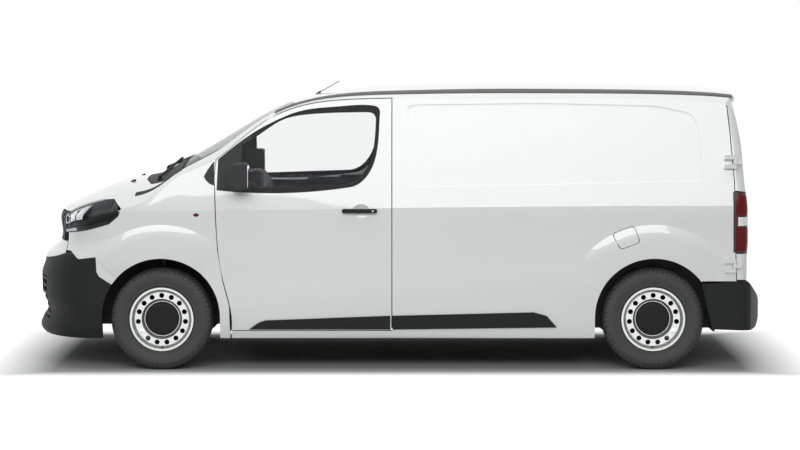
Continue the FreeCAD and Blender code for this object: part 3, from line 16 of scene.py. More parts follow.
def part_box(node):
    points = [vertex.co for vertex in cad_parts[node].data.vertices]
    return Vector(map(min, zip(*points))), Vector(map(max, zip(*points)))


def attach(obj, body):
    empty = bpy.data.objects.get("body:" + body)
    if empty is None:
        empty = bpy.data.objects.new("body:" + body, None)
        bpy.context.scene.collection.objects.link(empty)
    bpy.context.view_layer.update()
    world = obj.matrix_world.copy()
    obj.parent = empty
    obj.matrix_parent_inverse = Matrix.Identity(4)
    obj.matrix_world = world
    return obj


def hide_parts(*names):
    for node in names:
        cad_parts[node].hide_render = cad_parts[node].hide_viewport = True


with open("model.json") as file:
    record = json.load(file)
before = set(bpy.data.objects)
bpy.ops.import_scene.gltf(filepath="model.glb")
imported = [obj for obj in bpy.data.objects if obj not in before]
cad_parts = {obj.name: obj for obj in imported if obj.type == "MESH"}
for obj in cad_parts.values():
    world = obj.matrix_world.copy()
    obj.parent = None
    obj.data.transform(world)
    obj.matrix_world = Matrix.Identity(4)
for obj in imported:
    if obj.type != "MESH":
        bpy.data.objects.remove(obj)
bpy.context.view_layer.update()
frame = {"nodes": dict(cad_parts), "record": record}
nodes = frame["nodes"]

# %% [markdown]
# ## Writing a finish as sums
# A finish is a small net of nodes. Joined one by one it hides what it works out, so a socket is wrapped
# in a class of its own here, and a sum such as `0.3 + grain * 0.1` adds its Math nodes by itself.

# %% A socket that can be used in sums


class Value:
    """The output of a node, usable like a number."""

    def __init__(self, finish, socket):
        self.finish = finish
        self.socket = socket

    def sum(self, operation, first, second):
        return self.finish.node("ShaderNodeMath", {"operation": operation}, {0: first, 1: second})

    def __add__(self, other):
        return self.sum("ADD", self, other)

    def __radd__(self, other):
        return self.sum("ADD", other, self)

    def __sub__(self, other):
        return self.sum("SUBTRACT", self, other)

    def __rsub__(self, other):
        return self.sum("SUBTRACT", other, self)

    def __mul__(self, other):
        return self.sum("MULTIPLY", self, other)

    def __rmul__(self, other):
        return self.sum("MULTIPLY", other, self)


# %% [markdown]
# A finish keeps one material and its shader. What is the same all over is set on the shader's own
# sockets, and only what changes over the surface is joined to it.

# %% A finish and its nodes


class Finish:
    """One material, with the nodes that make its looks."""

    def __init__(self, name, **constants):
        self.material = bpy.data.materials.new(name)
        self.material.use_nodes = True
        self.tree = self.material.node_tree
        self.shader = self.tree.nodes["Principled BSDF"]
        for socket, value in constants.items():
            self.shader.inputs[socket.replace("_", " ")].default_value = value
        self.place = self.node("ShaderNodeTexCoord", {}, {}, "Object")

    def node(self, kind, settings, sockets, output=0):
        """Adds a node: its settings first, then the values or links of its sockets."""
        made = self.tree.nodes.new(kind)
        for key, value in settings.items():
            setattr(made, key, value)
        for key, value in sockets.items():
            if isinstance(value, Value):
                self.tree.links.new(value.socket, made.inputs[key])
            else:
                made.inputs[key].default_value = value
        return Value(self, made.outputs[output])

    def feed(self, socket, value):
        """Joins a value to a socket of the shader."""
        self.tree.links.new(value.socket, self.shader.inputs[socket])

    def noise(self, scale, detail=4.0, roughness=0.5):
        """Cloudy noise, in features per metre."""
        sockets = {"Vector": self.place, "Scale": scale, "Detail": detail, "Roughness": roughness}
        return self.node("ShaderNodeTexNoise", {}, sockets, "Fac")

    def cells(self, scale):
        """Small rounded cells, in cells per metre."""
        return self.node("ShaderNodeTexVoronoi", {}, {"Vector": self.place, "Scale": scale}, "Distance")

    def mix(self, share, first, second):
        """Goes from the first colour to the second."""
        return self.node("ShaderNodeMix", {"data_type": "RGBA"}, {"Factor": share, 6: first, 7: second}, 2)

    def spread(self, value, low, high):
        """Stretches a part of a value's range to run from 0 to 1, and stops at its ends."""
        return self.node("ShaderNodeMapRange", {}, {"Value": value, "From Min": low, "From Max": high})

    def part(self, axis):
        """One coordinate of the place on the surface."""
        return self.node("ShaderNodeSeparateXYZ", {}, {0: self.place}, axis)

    def bump(self, height, strength, distance):
        """Raises the surface a little, for the light only."""
        sockets = {"Height": height, "Strength": strength, "Distance": distance}
        self.feed("Normal", self.node("ShaderNodeBump", {}, sockets))


def rgb(red, green=None, blue=None):
    """A colour with its fourth value; one number gives a grey."""
    return (red, red if green is None else green, red if blue is None else blue, 1.0)


# %% [markdown]
# ## White body paint
# Van bodies are sprayed in a flat white under a clear coat. The coat gives sharp highlights over the softer
# ones of the colour, and its skin is never quite flat: it has the fine waviness called orange peel.
# A little road dust greys the paint near the sills: a mask that is 1 where the paint is clean gives it, as
# one minus that mask, and a slow cloud keeps its upper edge from running dead level.

# %% Body paint
dust_low = 0.28
dust_high = 0.52
dust_waver = 0.22
dust_strength = 0.16
dust_colour = rgb(0.52, 0.50, 0.47)
paint = Finish("body_paint_white", Coat_Weight=1.0, Coat_Roughness=0.03, Coat_IOR=1.5)
paint_cloud = paint.noise(1.7, 3.0)
paint_dust = 1.0 - paint.spread(paint.part("Z") + paint_cloud * dust_waver, dust_low, dust_high)
paint_fresh = paint.mix(paint_cloud, rgb(0.755, 0.765, 0.765), rgb(0.795, 0.805, 0.800))
paint.feed("Base Color", paint.mix(paint_dust * dust_strength, paint_fresh, dust_colour))
paint.feed("Roughness", 0.34 + paint_dust * 0.2 + paint.noise(38.0) * 0.06)
paint.bump(paint.noise(260.0, 2.0), 0.05, 0.0004)
print("finish:", paint.material.name)

# %% [markdown]
# ## Moulded plastics
# Bumpers, guards and mirrors are moulded in black with a fine leather-like grain, so that scratches don't
# show. Voronoi cells give that grain, and a slow noise keeps large faces from looking printed.

# %% Black and grey mouldings
cloud_scale = 6.0
sheen_scale = 140.0
sheen_change = 0.12
grain_depth = 0.0003


def moulded(name, dark, light, rough, grain_scale=900.0, grain=0.25):
    """Plastic straight from a grained mould, with its grain in cells per metre."""
    made = Finish(name, Specular_IOR_Level=0.17)
    made.feed("Base Color", made.mix(made.noise(cloud_scale), rgb(*dark), rgb(*light)))
    made.feed("Roughness", rough + made.noise(sheen_scale) * sheen_change)
    made.bump(made.cells(grain_scale), grain, grain_depth)
    return made


black_plastic = moulded("black_grained_plastic", (0.0115, 0.0117, 0.0120), (0.0165, 0.0168, 0.0170), 0.52)
grey_plastic = moulded("roof_strip_grey", (0.13, 0.13, 0.128), (0.17, 0.17, 0.167), 0.48)
cab_plastic = moulded("cab_plastic_grey", (0.035, 0.038, 0.040), (0.050, 0.054, 0.056), 0.55, 620.0, 0.4)
hard_black = moulded("hard_smooth_black", (0.008, 0.008, 0.009), (0.012, 0.012, 0.013), 0.28, 300.0, 0.02)
print("mouldings: 4")

# %% [markdown]
# The trim of a front door is two things in one: in front the grained panel that carries the mirror, and
# behind it the smooth, much blacker rubber seal round the glass. A mask along the van parts the two.

# %% Door trim in two blacks
seal_begins = -0.990
seal_is_full = -0.975
seal_colour = rgb(0.0045)
door_black = Finish("door_trim_black", Specular_IOR_Level=0.25)
seal_mask = door_black.spread(door_black.part("X"), seal_begins, seal_is_full)
door_cloud = door_black.noise(cloud_scale)
door_grain = door_black.mix(door_cloud, rgb(0.026, 0.0262, 0.0265), rgb(0.036, 0.0362, 0.0365))
door_black.feed("Base Color", door_black.mix(seal_mask, door_grain, seal_colour))
door_black.feed("Roughness", 0.50 + door_black.noise(sheen_scale) * sheen_change)
door_black.bump(door_black.cells(900.0), 0.2, grain_depth)
print("finish:", door_black.material.name)

# %% [markdown]
# ## Clear parts
# A pane lets nearly all light straight through, takes a little of it as a green-grey tint, and mirrors more
# and more of its surroundings as it is seen more edge-on. A share of opacity that grows as the surface turns
# away from the eye does just that. It bends no light, which a flat thin pane hardly does either, and it
# stays free of noise. The red lenses let almost nothing through, so they are a smooth red body with fine
# facets.

# %% Glass and lamp lenses
mirrored_head_on = 0.034
mirrored_edge_on = 0.9


def clear(name, tint, share, gloss):
    """A thin clear pane: a share of it is tint, and more of it mirrors towards the edges."""
    made = Finish(name, IOR=1.45, Specular_IOR_Level=0.5)
    smear = made.noise(9.0, 6.0)
    away = made.node("ShaderNodeLayerWeight", {}, {"Blend": 0.5}, "Facing")
    mirrored = mirrored_head_on + away * away * away * away * away * mirrored_edge_on
    made.feed("Base Color", made.mix(smear * 0.3, rgb(*tint), rgb(*[value * 0.9 for value in tint])))
    made.feed("Roughness", 0.01 + smear * 0.02)
    made.feed("Alpha", share + mirrored * gloss)
    return made


glass = clear("window_glass", (0.10, 0.13, 0.125), 0.026, 0.6)
lens_clear = clear("lamp_lens_clear", (0.20, 0.21, 0.22), 0.0, 0.4)
lens_red = Finish("lamp_lens_red", IOR=1.49, Specular_IOR_Level=0.16)
red_cloud = lens_red.noise(30.0)
lens_red.feed("Base Color", lens_red.mix(red_cloud, rgb(0.105, 0.002, 0.004), rgb(0.160, 0.004, 0.007)))
lens_red.feed("Roughness", 0.12 + lens_red.noise(120.0) * 0.06)
lens_red.bump(lens_red.cells(190.0), 0.10, 0.0006)
gasket = Finish("lamp_body_dark_red", Roughness=0.3)
gasket.feed("Base Color", gasket.mix(gasket.noise(60.0), rgb(0.030, 0.002, 0.003), rgb(0.050, 0.003, 0.004)))
gasket.bump(gasket.noise(200.0), 0.1, 0.0004)
print("clear finishes: 4")

# %% [markdown]
# ## Wheels, tyres and what lies under the floor
# The steel wheels are sprayed silver over a cast-like skin. Tyre rubber is dark grey, dull and a little
# dusty. Everything below the floor has a coat of black underseal, spattered with dust.

# %% Wheel, rubber and underbody finishes
silver = Finish("wheel_silver", Metallic=0.85)
silver_cloud = silver.noise(24.0)
silver.feed("Base Color", silver.mix(silver_cloud, rgb(0.68, 0.685, 0.68), rgb(0.78, 0.785, 0.78)))
silver.feed("Roughness", 0.26 + silver.noise(300.0) * 0.10)
silver.bump(silver.noise(700.0), 0.06, 0.0003)

rubber = Finish("tyre_rubber")
rubber_dust = rubber.spread(rubber.noise(22.0, 6.0), 0.5, 0.8)
rubber.feed("Base Color", rubber.mix(rubber_dust * 0.5, rgb(0.042, 0.042, 0.042), rgb(0.075, 0.074, 0.071)))
rubber.feed("Roughness", 0.66 + rubber_dust * 0.2)
rubber.bump(rubber.noise(900.0), 0.15, 0.0003)

underseal = Finish("underbody_black")
underseal_dust = underseal.spread(underseal.noise(14.0, 8.0), 0.5, 0.85)
underseal.feed("Base Color", underseal.mix(underseal_dust * 0.5, rgb(0.012), rgb(0.045, 0.042, 0.038)))
underseal.feed("Roughness", 0.6 + underseal_dust * 0.3)
underseal.bump(underseal.noise(180.0), 0.4, 0.001)

floor_grey = Finish("load_floor_grey")
floor_scuff = floor_grey.noise(5.0, 10.0, 0.7)
floor_grey.feed("Base Color", floor_grey.mix(floor_scuff, rgb(0.10, 0.10, 0.105), rgb(0.17, 0.17, 0.172)))
floor_grey.feed("Roughness", 0.55 + floor_scuff * 0.25)
floor_grey.bump(floor_grey.cells(45.0), 0.35, 0.0008)

engine_metal = Finish("engine_casting", Metallic=0.7)
engine_grit = engine_metal.noise(60.0, 8.0)
engine_metal.feed("Base Color", engine_metal.mix(engine_grit, rgb(0.20), rgb(0.32, 0.31, 0.30)))
engine_metal.feed("Roughness", 0.45 + engine_grit * 0.3)
engine_metal.bump(engine_grit, 0.5, 0.001)

exhaust_steel = Finish("exhaust_steel", Metallic=0.95)
exhaust_heat = exhaust_steel.noise(8.0, 6.0)
exhaust_tint = exhaust_steel.mix(exhaust_heat, rgb(0.34, 0.30, 0.26), rgb(0.45, 0.42, 0.38))
exhaust_steel.feed("Base Color", exhaust_tint)
exhaust_steel.feed("Roughness", 0.35 + exhaust_heat * 0.3)
exhaust_steel.bump(exhaust_steel.noise(220.0), 0.1, 0.0004)

seat_cloth = Finish("seat_cloth", Sheen_Weight=0.3)
seat_weave = seat_cloth.node("ShaderNodeTexWave", {"wave_type": "BANDS", "bands_direction": "DIAGONAL"},
                             {"Vector": seat_cloth.place, "Scale": 260.0, "Distortion": 2.0}, "Fac")
seat_cloth.feed("Base Color", seat_cloth.mix(seat_weave, rgb(0.030, 0.033, 0.037), rgb(0.075, 0.080, 0.085)))
seat_cloth.feed("Roughness", 0.8 + seat_cloth.noise(50.0) * 0.15)
seat_cloth.bump(seat_weave, 0.5, 0.0006)
print("other finishes: 7")

# %% [markdown]
# ## Lamp metal and wheel caps
# Reflectors are plastic with vacuum-plated aluminium, which shows as a very bright, slightly wavy mirror.
# Light guides beside them are frosted. The wheel caps are moulded in matte black.

# %% Reflector, light guide and cap
reflector = Finish("lamp_reflector_metal", Metallic=1.0)
reflector_wave = reflector.noise(70.0, 2.0)
reflector.feed("Base Color", reflector.mix(reflector_wave, rgb(0.78, 0.79, 0.80), rgb(0.90, 0.90, 0.91)))
reflector.feed("Roughness", 0.10 + reflector_wave * 0.12)
reflector.bump(reflector_wave, 0.25, 0.002)

frosted = Finish("lamp_light_guide", Metallic=0.35)
frosted_cloud = frosted.cells(160.0)
frosted.feed("Base Color", frosted.mix(frosted_cloud, rgb(0.62, 0.64, 0.66), rgb(0.80, 0.81, 0.82)))
frosted.feed("Roughness", 0.30 + frosted_cloud * 0.15)
frosted.bump(frosted_cloud, 0.2, 0.0008)

cap_black = moulded("wheel_cap_black", (0.008, 0.008, 0.0085), (0.014, 0.014, 0.0145), 0.42, 700.0, 0.2)
lamp_black = moulded("lamp_housing_black", (0.006, 0.006, 0.0065), (0.010, 0.010, 0.011), 0.35, 300.0, 0.05)
print("finishes: reflector, light guide, cap, lamp housing")

# %% [markdown]
# ## Which finish goes where
# Each CAD node keeps its shape and takes its finish from the list below. The slot names are those of the
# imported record. The trim of the two front doors has its own black.

# %% Give every node its finish
finish_of_slot = {
    "body_paint": paint,
    "black_plastic": black_plastic,
    "grey_moulding": grey_plastic,
    "clear_glass": glass,
    "lamp_clear": lens_clear,
    "lamp_red": lens_red,
    "tyre_rubber": rubber,
    "wheel_silver": silver,
    "cab_plastic": cab_plastic,
    "seat_cloth": seat_cloth,
    "chassis_black": underseal,
    "floor_grey": floor_grey,
    "engine_metal": engine_metal,
    "exhaust_steel": exhaust_steel,
}
slot_of_node = {entry["node"]: entry["material_slot"] for entry in frame["record"]["subparts"]}
for name, node in nodes.items():
    for slot in node.material_slots:
        slot.material = finish_of_slot[slot_of_node[name]].material
for side in ("left", "right"):
    for slot in nodes["door_trim_" + side].material_slots:
        slot.material = door_black.material
print("nodes dressed:", len(slot_of_node))

# %% [markdown]
# ## Building blocks for small parts
# The pieces below are too fine for the CAD model. Most are grids of points joined by faces, so a few helpers
# do the common work: they make a grid, turn a profile round an axle, close two grids into a thin shell, and
# give a mesh its finish and the body that it rides on. Edges that turn sharply stay crisp, and all others
# are shaded smooth.

# %% Grids and pieces
weld_reach = 0.00002


def from_grid(rows, across=False, around=False):
    """A mesh through rows of points; it can close across each row, and from the last row to the first."""
    mesh = bmesh.new()
    points = [[mesh.verts.new(point) for point in row] for row in rows]
    for index in range(len(rows) - (0 if around else 1)):
        near = points[index]
        far = points[(index + 1) % len(rows)]
        for step in range(len(near) - (0 if across else 1)):
            after = (step + 1) % len(near)
            mesh.faces.new((near[step], near[after], far[after], far[step]))
    return mesh


def piece(name, mesh, finish, body, sharp=32.0):
    """Turns a mesh into a piece of the van that rides on a body."""
    bmesh.ops.remove_doubles(mesh, verts=mesh.verts, dist=weld_reach)
    bmesh.ops.recalc_face_normals(mesh, faces=mesh.faces)
    for face in mesh.faces:
        face.smooth = True
    for edge in mesh.edges:
        if len(edge.link_faces) == 2 and edge.calc_face_angle() > math.radians(sharp):
            edge.smooth = False
    data = bpy.data.meshes.new(name)
    mesh.to_mesh(data)
    mesh.free()
    made = bpy.data.objects.new(name, data)
    bpy.context.scene.collection.objects.link(made)
    data.materials.append(finish.material)
    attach(made, body)
    return made


def turned(profile, centre, side, steps=96):
    """A profile of outward places and radii, turned round an axle that runs across the van."""
    rows = []
    for step in range(steps):
        turn = 2.0 * math.pi * step / steps
        across, up = math.sin(turn), math.cos(turn)
        rows.append([(centre.x + radius * across, centre.y + side * out, centre.z + radius * up)
                     for out, radius in profile])
    return from_grid(rows, around=True)


def shell(front, back):
    """A closed sheet between two grids of points of the same size."""
    rows = [list(top) + list(reversed(bottom)) for top, bottom in zip(front, back)]
    mesh = from_grid(rows, across=True)
    mesh.verts.ensure_lookup_table()
    width = len(front[0])
    for base in (0, (len(rows) - 1) * width * 2):
        for step in range(width - 1):
            mirrored_step = 2 * width - 1 - step
            corners = (base + step, base + step + 1, base + mirrored_step - 1, base + mirrored_step)
            mesh.faces.new([mesh.verts[corner] for corner in corners])
    return mesh


print("helpers: from_grid, piece, turned, shell")

# %% [markdown]
# A small part has to lie exactly on the panel that carries it. A ray shot at the CAD mesh finds that
# place, so nothing floats above a curved panel or sinks into it. Where the ray slips through a shut line,
# it tries again a little to each side.

# %% Finding a place on the skin
gap_searches = (0.0, 0.004, 0.008, 0.014, 0.022, 0.032)
ray_start = 2.0
outer_skin = 0.70
patch_rows = 10


class Skin:
    """The surface of some CAD nodes, found by rays."""

    def __init__(self, *names):
        points = []
        faces = []
        for name in names:
            data = nodes[name].data
            start = len(points)
            points.extend(vertex.co.copy() for vertex in data.vertices)
            faces.extend([start + index for index in polygon.vertices] for polygon in data.polygons)
        self.tree = BVHTree.FromPolygons(points, faces)

    def hit(self, start, way):
        """First place that a ray meets, with the direction that the surface faces there."""
        place, facing = self.tree.ray_cast(Vector(start), Vector(way).normalized())[:2]
        if place is None:
            return None, None
        if facing.dot(Vector(way)) > 0:
            facing = -facing
        return place, facing

    def beside(self, x, z, side):
        """The place at a side view position, seen from one side; over a gap, that of the edge beside it."""
        for reach in gap_searches:
            for step_x, step_z in ((-1, 0), (1, 0), (0, -1), (0, 1)):
                start = (x + reach * step_x, side * ray_start, z + reach * step_z)
                place, facing = self.hit(start, (0.0, -side, 0.0))
                if place is not None and abs(place.y) > outer_skin:
                    return Vector((x, place.y, z)), facing
        return None, None


def side_patch(skin, side, outline_at, columns, rise, depth):
    """A thin sheet on the skin: for each column it runs from the low to the high edge of an outline."""
    front = []
    back = []
    for x in columns:
        low, high = outline_at(x)
        over = []
        under = []
        for z in spaced(low, high, patch_rows):
            place, facing = skin.beside(x, z, side)
            over.append(place + facing * rise)
            under.append(place - facing * depth)
        front.append(over)
        back.append(under)
    return shell(front, back)


def between(table, value):
    """A straight reading between the rows of a two-column table."""
    for low, high in zip(table, table[1:]):
        if value <= high[0]:
            part = (value - low[0]) / (high[0] - low[0])
            return low[1] + (high[1] - low[1]) * max(0.0, part)
    return table[-1][1]


def spaced(start, end, count):
    """Evenly spaced values from a start to an end."""
    return [start + (end - start) * index / (count - 1) for index in range(count)]


print("helpers: Skin, side_patch, between, spaced")

# %% [markdown]
# ## Tyres
# A van tyre is a turned shape with two extras: four grooves round the tread, and short grooves across its
# shoulders. The profile is turned in uneven steps, so that each tread block has steep ends, and the shoulder
# points drop in between the blocks. The sidewall has low rings that catch the light. Real tread is cut much
# deeper and in more kinds of groove, but at this size only the notched shoulder shows.

# %% Tyre tread and sidewall
wheel_sides = {"front_left": -1.0, "front_right": 1.0, "rear_left": -1.0, "rear_right": 1.0}
wheel_places = {}
for name in wheel_sides:
    low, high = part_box("tyre_" + name)
    wheel_places[name] = (low + high) / 2.0

# Outward place and radius, from the bead to the middle of the tread, in metres
tyre_profile = [
    (0.0805, 0.2138), (0.0850, 0.2170), (0.0885, 0.2225), (0.0935, 0.2265), (0.0950, 0.2330),
    (0.0946, 0.2385), (0.0985, 0.2450), (0.1030, 0.2560), (0.1050, 0.2640), (0.1045, 0.2655),
    (0.1068, 0.2700), (0.1074, 0.2790), (0.1066, 0.2900), (0.1070, 0.2915), (0.1058, 0.2950),
    (0.1030, 0.3040), (0.1000, 0.3120), (0.0960, 0.3200), (0.0915, 0.3265), (0.0865, 0.3310),
    (0.0800, 0.3340), (0.0700, 0.3360), (0.0620, 0.3366),
    (0.0610, 0.3290), (0.0550, 0.3290), (0.0540, 0.3370), (0.0380, 0.3376), (0.0230, 0.3379),
    (0.0220, 0.3295), (0.0160, 0.3295), (0.0150, 0.3380), (0.0000, 0.3380)]
block_count = 62
# Share of a block's length, and share of the groove's depth there
block_steps = [(0.0, 0.0), (0.74, 0.0), (0.79, 1.0), (0.95, 1.0)]
groove_depth = 0.0055
groove_run_in = 0.012
shoulder_start = 0.3050
shoulder_end = 0.3367
shoulder_inside = 0.061


def tyre(name, side):
    """One tyre with tread blocks on both shoulders."""
    centre = wheel_places[name]
    outline = tyre_profile + [(-out, radius) for out, radius in reversed(tyre_profile[:-1])]
    rows = []
    for block in range(block_count):
        for share, groove in block_steps:
            turn = 2.0 * math.pi * (block + share) / block_count
            row = []
            for out, radius in outline:
                reach = radius
                if shoulder_start < radius < shoulder_end and abs(out) > shoulder_inside:
                    reach -= groove_depth * groove * min(1.0, (radius - shoulder_start) / groove_run_in)
                row.append((centre.x + reach * math.sin(turn), centre.y + side * out,
                            centre.z + reach * math.cos(turn)))
            rows.append(row)
    made = piece("tread_" + name, from_grid(rows, around=True), rubber, "wheel_" + name)
    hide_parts("tyre_" + name)


for name, side in wheel_sides.items():
    tyre(name, side)
print("tyres:", len(wheel_sides), "with", block_count, "blocks on each shoulder")

# %% [markdown]
# ## Wheel caps and valves
# A steel wheel of a work van has a plain black plastic cap over its hub and nuts. It is a shallow
# turned cup with a thin groove round its flat middle. The rubber valve pokes through the dark gap between
# the disc and the rim, at the foot of the wheel.

# %% Caps and valves
# Outward places and radii from the wheel's middle, in metres
cap_profile = [(0.0592, 0.0), (0.0592, 0.034), (0.0586, 0.0348), (0.0586, 0.0362), (0.0592, 0.037),
               (0.0596, 0.0880), (0.0588, 0.0960), (0.0570, 0.1020), (0.0530, 0.1072), (0.0470, 0.1110),
               (0.0400, 0.1138), (0.0368, 0.1144)]
valve_profile = [(0.0, 0.0), (0.0, 0.0062), (0.012, 0.0058), (0.020, 0.0050), (0.022, 0.0042),
                 (0.030, 0.0042), (0.0305, 0.0030), (0.0305, 0.0)]
valve_out = 0.0365
valve_down = 0.1935
for name, side in wheel_sides.items():
    body = "wheel_" + name
    centre = wheel_places[name]
    piece("hub_cap_" + name, turned(cap_profile, centre, side, 128), cap_black, body)
    foot = Vector((centre.x, centre.y + side * valve_out, centre.z - valve_down))
    piece("valve_" + name, turned(valve_profile, foot, side, 24), rubber, body)
print("caps and valves:", 2 * len(wheel_sides))

# %% [markdown]
# Where the disc is pressed into the rim, the barrel behind it is sunk in shade. That shade is painted: a thin
# turned band of matte black, of its own, that lies just in front of that joint.

# %% Painted shade ring round each disc
shade_ring_profile = [(0.0300, 0.1815), (0.0312, 0.1830), (0.0305, 0.1900), (0.0330, 0.1955), (0.0345, 0.1975),
                  (0.0300, 0.1975), (0.0285, 0.1815), (0.0300, 0.1815)]
for name, side in wheel_sides.items():
    # Painted shade: a black band over the shaded, recessed barrel of each wheel.
    piece("painted_shade_ring_" + name, turned(shade_ring_profile, wheel_places[name], side), cap_black,
          "wheel_" + name)
print("grooves:", len(wheel_sides))

# %% [markdown]
# ## Seats
# The backs of the seats are folded forward onto the cushions, which is why no headrest shows in the side
# windows. Each seat is a firm moulded base with two pads. A pad is a crowned closed form: it starts as a
# coarse box of points, its middle is raised and its edges are pulled in between the corners, and a
# subdivision surface rounds it. Sewn channels are pressed in along the pad.

# %% Seat pads


def pad(name, low, high, crown, channels):
    """A padded block between two corners, crowned on top and underneath, with sewn channels along X."""
    wide_steps = 28
    long_steps = 16
    squareness = 4.5
    channel_half_width = 0.022
    channel_depth = 0.10
    pull_at_ends = 0.035
    pull_at_sides = 0.025
    at_edge = 0.99
    edge_share = 0.35
    top_fullness = 0.42
    bottom_fullness = 0.30
    size = Vector(high) - Vector(low)
    middle = (Vector(high) + Vector(low)) / 2.0
    half = size.z / 2.0 - crown
    edge = half * edge_share
    top = []
    bottom = []
    for i in range(long_steps + 1):
        over = []
        under = []
        u = 2.0 * i / long_steps - 1.0
        for j in range(wide_steps + 1):
            v = 2.0 * j / wide_steps - 1.0
            round_off = (1.0 - abs(u) ** squareness) * (1.0 - abs(v) ** squareness)
            sewn = sum(math.exp(-((v - line) / channel_half_width) ** 2) for line in channels)
            swell = round_off ** top_fullness - sewn * channel_depth * round_off
            pull_x = 1.0 - pull_at_ends * (1.0 - v * v) * (abs(u) > at_edge)
            pull_y = 1.0 - pull_at_sides * (1.0 - u * u) * (abs(v) > at_edge)
            x = middle.x + u * size.x / 2.0 * pull_x
            y = middle.y + v * size.y / 2.0 * pull_y
            over.append((x, y, middle.z + edge + (half - edge + crown) * swell))
            under.append((x, y, middle.z - edge - (half - edge) * round_off ** bottom_fullness))
        top.append(over)
        bottom.append(under)
    made = piece(name, shell(top, bottom), seat_cloth, "root", 75.0)
    soft = made.modifiers.new("soft", "SUBSURF")
    soft.levels = 1
    soft.render_levels = 1
    return made


seat_low, seat_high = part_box("seats")
# Each seat's lowest and highest place across the van, and its channels as shares of half its width
seat_rows = {"driver": (seat_low.y, -0.240, [-0.52, 0.52]),
             "bench": (-0.160, seat_high.y, [-0.62, -0.04, 0.04, 0.62])}
cushion_top = 0.870
cushion_thickness = 0.135
pad_gap = 0.002
# How far a pad stays inside the seat's space: in front, behind and at its sides
cushion_insets = (0.005, 0.045, 0.008)
back_insets = (0.045, 0.004, 0.020)
cushion_crown = 0.022
back_crown = 0.020
for name, (y_low, y_high, channels) in seat_rows.items():
    ahead, behind, beside = cushion_insets
    cushion = pad("cushion_" + name,
                  (seat_low.x + ahead, y_low + beside, cushion_top - cushion_thickness),
                  (seat_high.x - behind, y_high - beside, cushion_top - pad_gap), cushion_crown, channels)
    ahead, behind, beside = back_insets
    back = pad("folded_back_" + name,
               (seat_low.x + ahead, y_low + beside, cushion_top + pad_gap),
               (seat_high.x - behind, y_high - beside, seat_high.z - pad_gap), back_crown, channels)

# %% [markdown]
# Under the pads a seat stands on a tapered plinth of grey moulding. It is a stack of rounded rings, drawn in
# at the waist.

# %% Seat plinths
plinth_corner = 0.035
corner_steps = 4
plinth_low = seat_low.x + 0.01
plinth_high = seat_high.x - 0.05
# Height, and how far the plinth is drawn in there
plinth_steps = [(seat_low.z, 0.030), (seat_low.z + 0.020, 0.028), (seat_low.z + 0.16, 0.060),
                (cushion_top - 0.16, 0.030), (cushion_top - 0.128, 0.012)]


def closed_stack(rings):
    """A closed form through rings of points, with a flat face at each end."""
    mesh = from_grid(rings, across=True)
    mesh.verts.ensure_lookup_table()
    count = len(rings[0])
    for first in (0, (len(rings) - 1) * count):
        mesh.faces.new([mesh.verts[first + index] for index in range(count)])
    return mesh


for name, (y_low, y_high, _) in seat_rows.items():
    rings = []
    for z, inset in plinth_steps:
        x_near = plinth_low + inset + plinth_corner
        x_far = plinth_high - inset - plinth_corner
        y_near = y_low + inset + plinth_corner
        y_far = y_high - inset - plinth_corner
        ring = []
        for x, y, start in ((x_far, y_far, 0.0), (x_near, y_far, 90.0), (x_near, y_near, 180.0),
                            (x_far, y_near, 270.0)):
            for step in range(corner_steps + 1):
                turn = math.radians(start + 90.0 * step / corner_steps)
                ring.append((x + plinth_corner * math.cos(turn), y + plinth_corner * math.sin(turn), z))
        rings.append(ring)
    plinth = piece("seat_plinth_" + name, closed_stack(rings), cab_plastic, "root")
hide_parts("seats")

# %% [markdown]
# ## Headlamps
# A headlamp is a clear moulded cover over a black housing, with bright reflectors sunk into it. The cover has
# the very shape of the nose, so its grid of points is read from the CAD lamp by rays aimed at an upright
# line inside it. The housing and the reflectors are further grids, each a chosen depth behind the cover.
# The tail lamps wrap round their corner in the same way, so both use the helpers below.

# %% A lamp's outer surface
lamp_columns = 44
lamp_rows = 20
search_steps = 150
search_reach = 1.2


def lamp_surface(node, others, centre, turns, heights, end):
    """Columns of places and directions over a lamp that wraps round a corner of the van.

    Turns are degrees from straight ahead or straight back, which end says, towards the lamp's own side.
    """
    around = Skin(node, *others)
    own_faces = len(nodes[node].data.polygons)
    side = math.copysign(1.0, centre[1])

    def look(turn, z):
        outward = Vector((end * math.cos(turn), side * math.sin(turn), 0.0))
        start = Vector((centre[0], centre[1], z)) + outward * search_reach
        place, facing, index = around.tree.ray_cast(start, -outward)[:3]
        if place is None or index >= own_faces:
            return None
        return place, (facing if facing.dot(outward) > 0 else -facing)

    found = []
    for turn in spaced(math.radians(turns[0]), math.radians(turns[1]), lamp_columns):
        seen = [z for z in spaced(heights[0], heights[1], search_steps) if look(turn, z)]
        if len(seen) < 6:
            continue
        column = [look(turn, z) or look(turn, z + 0.001) for z in spaced(seen[0], seen[-1], lamp_rows)]
        if all(column):
            found.append(column)
    return found


both_sides = (("left", -1.0), ("right", 1.0))
head_neighbours = ["fenders", "hood", "front_fascia", "front_bumper", "grille"]
head_centre = (-1.95, 0.50)
head_turns = (4.0, 106.0)
head_heights = (0.860, 1.150)
head_lamps = {}
for word, side in both_sides:
    centre = (head_centre[0], side * head_centre[1])
    head_lamps[word] = lamp_surface("headlamps", head_neighbours, centre, head_turns, head_heights, -1.0)
print("lamp columns:", [len(columns) for columns in head_lamps.values()])

# %% [markdown]
# The reflectors are shallow bowls. A bowl is a part of the lamp's grid, pushed in most at its middle.
# Which part is given as shares: along the lamp from the nose to its rear tip, and up from its lower edge.
# The clear cover is the same kind of sheet with no depth at all, laid over the whole lamp.

# %% Layers of a lamp


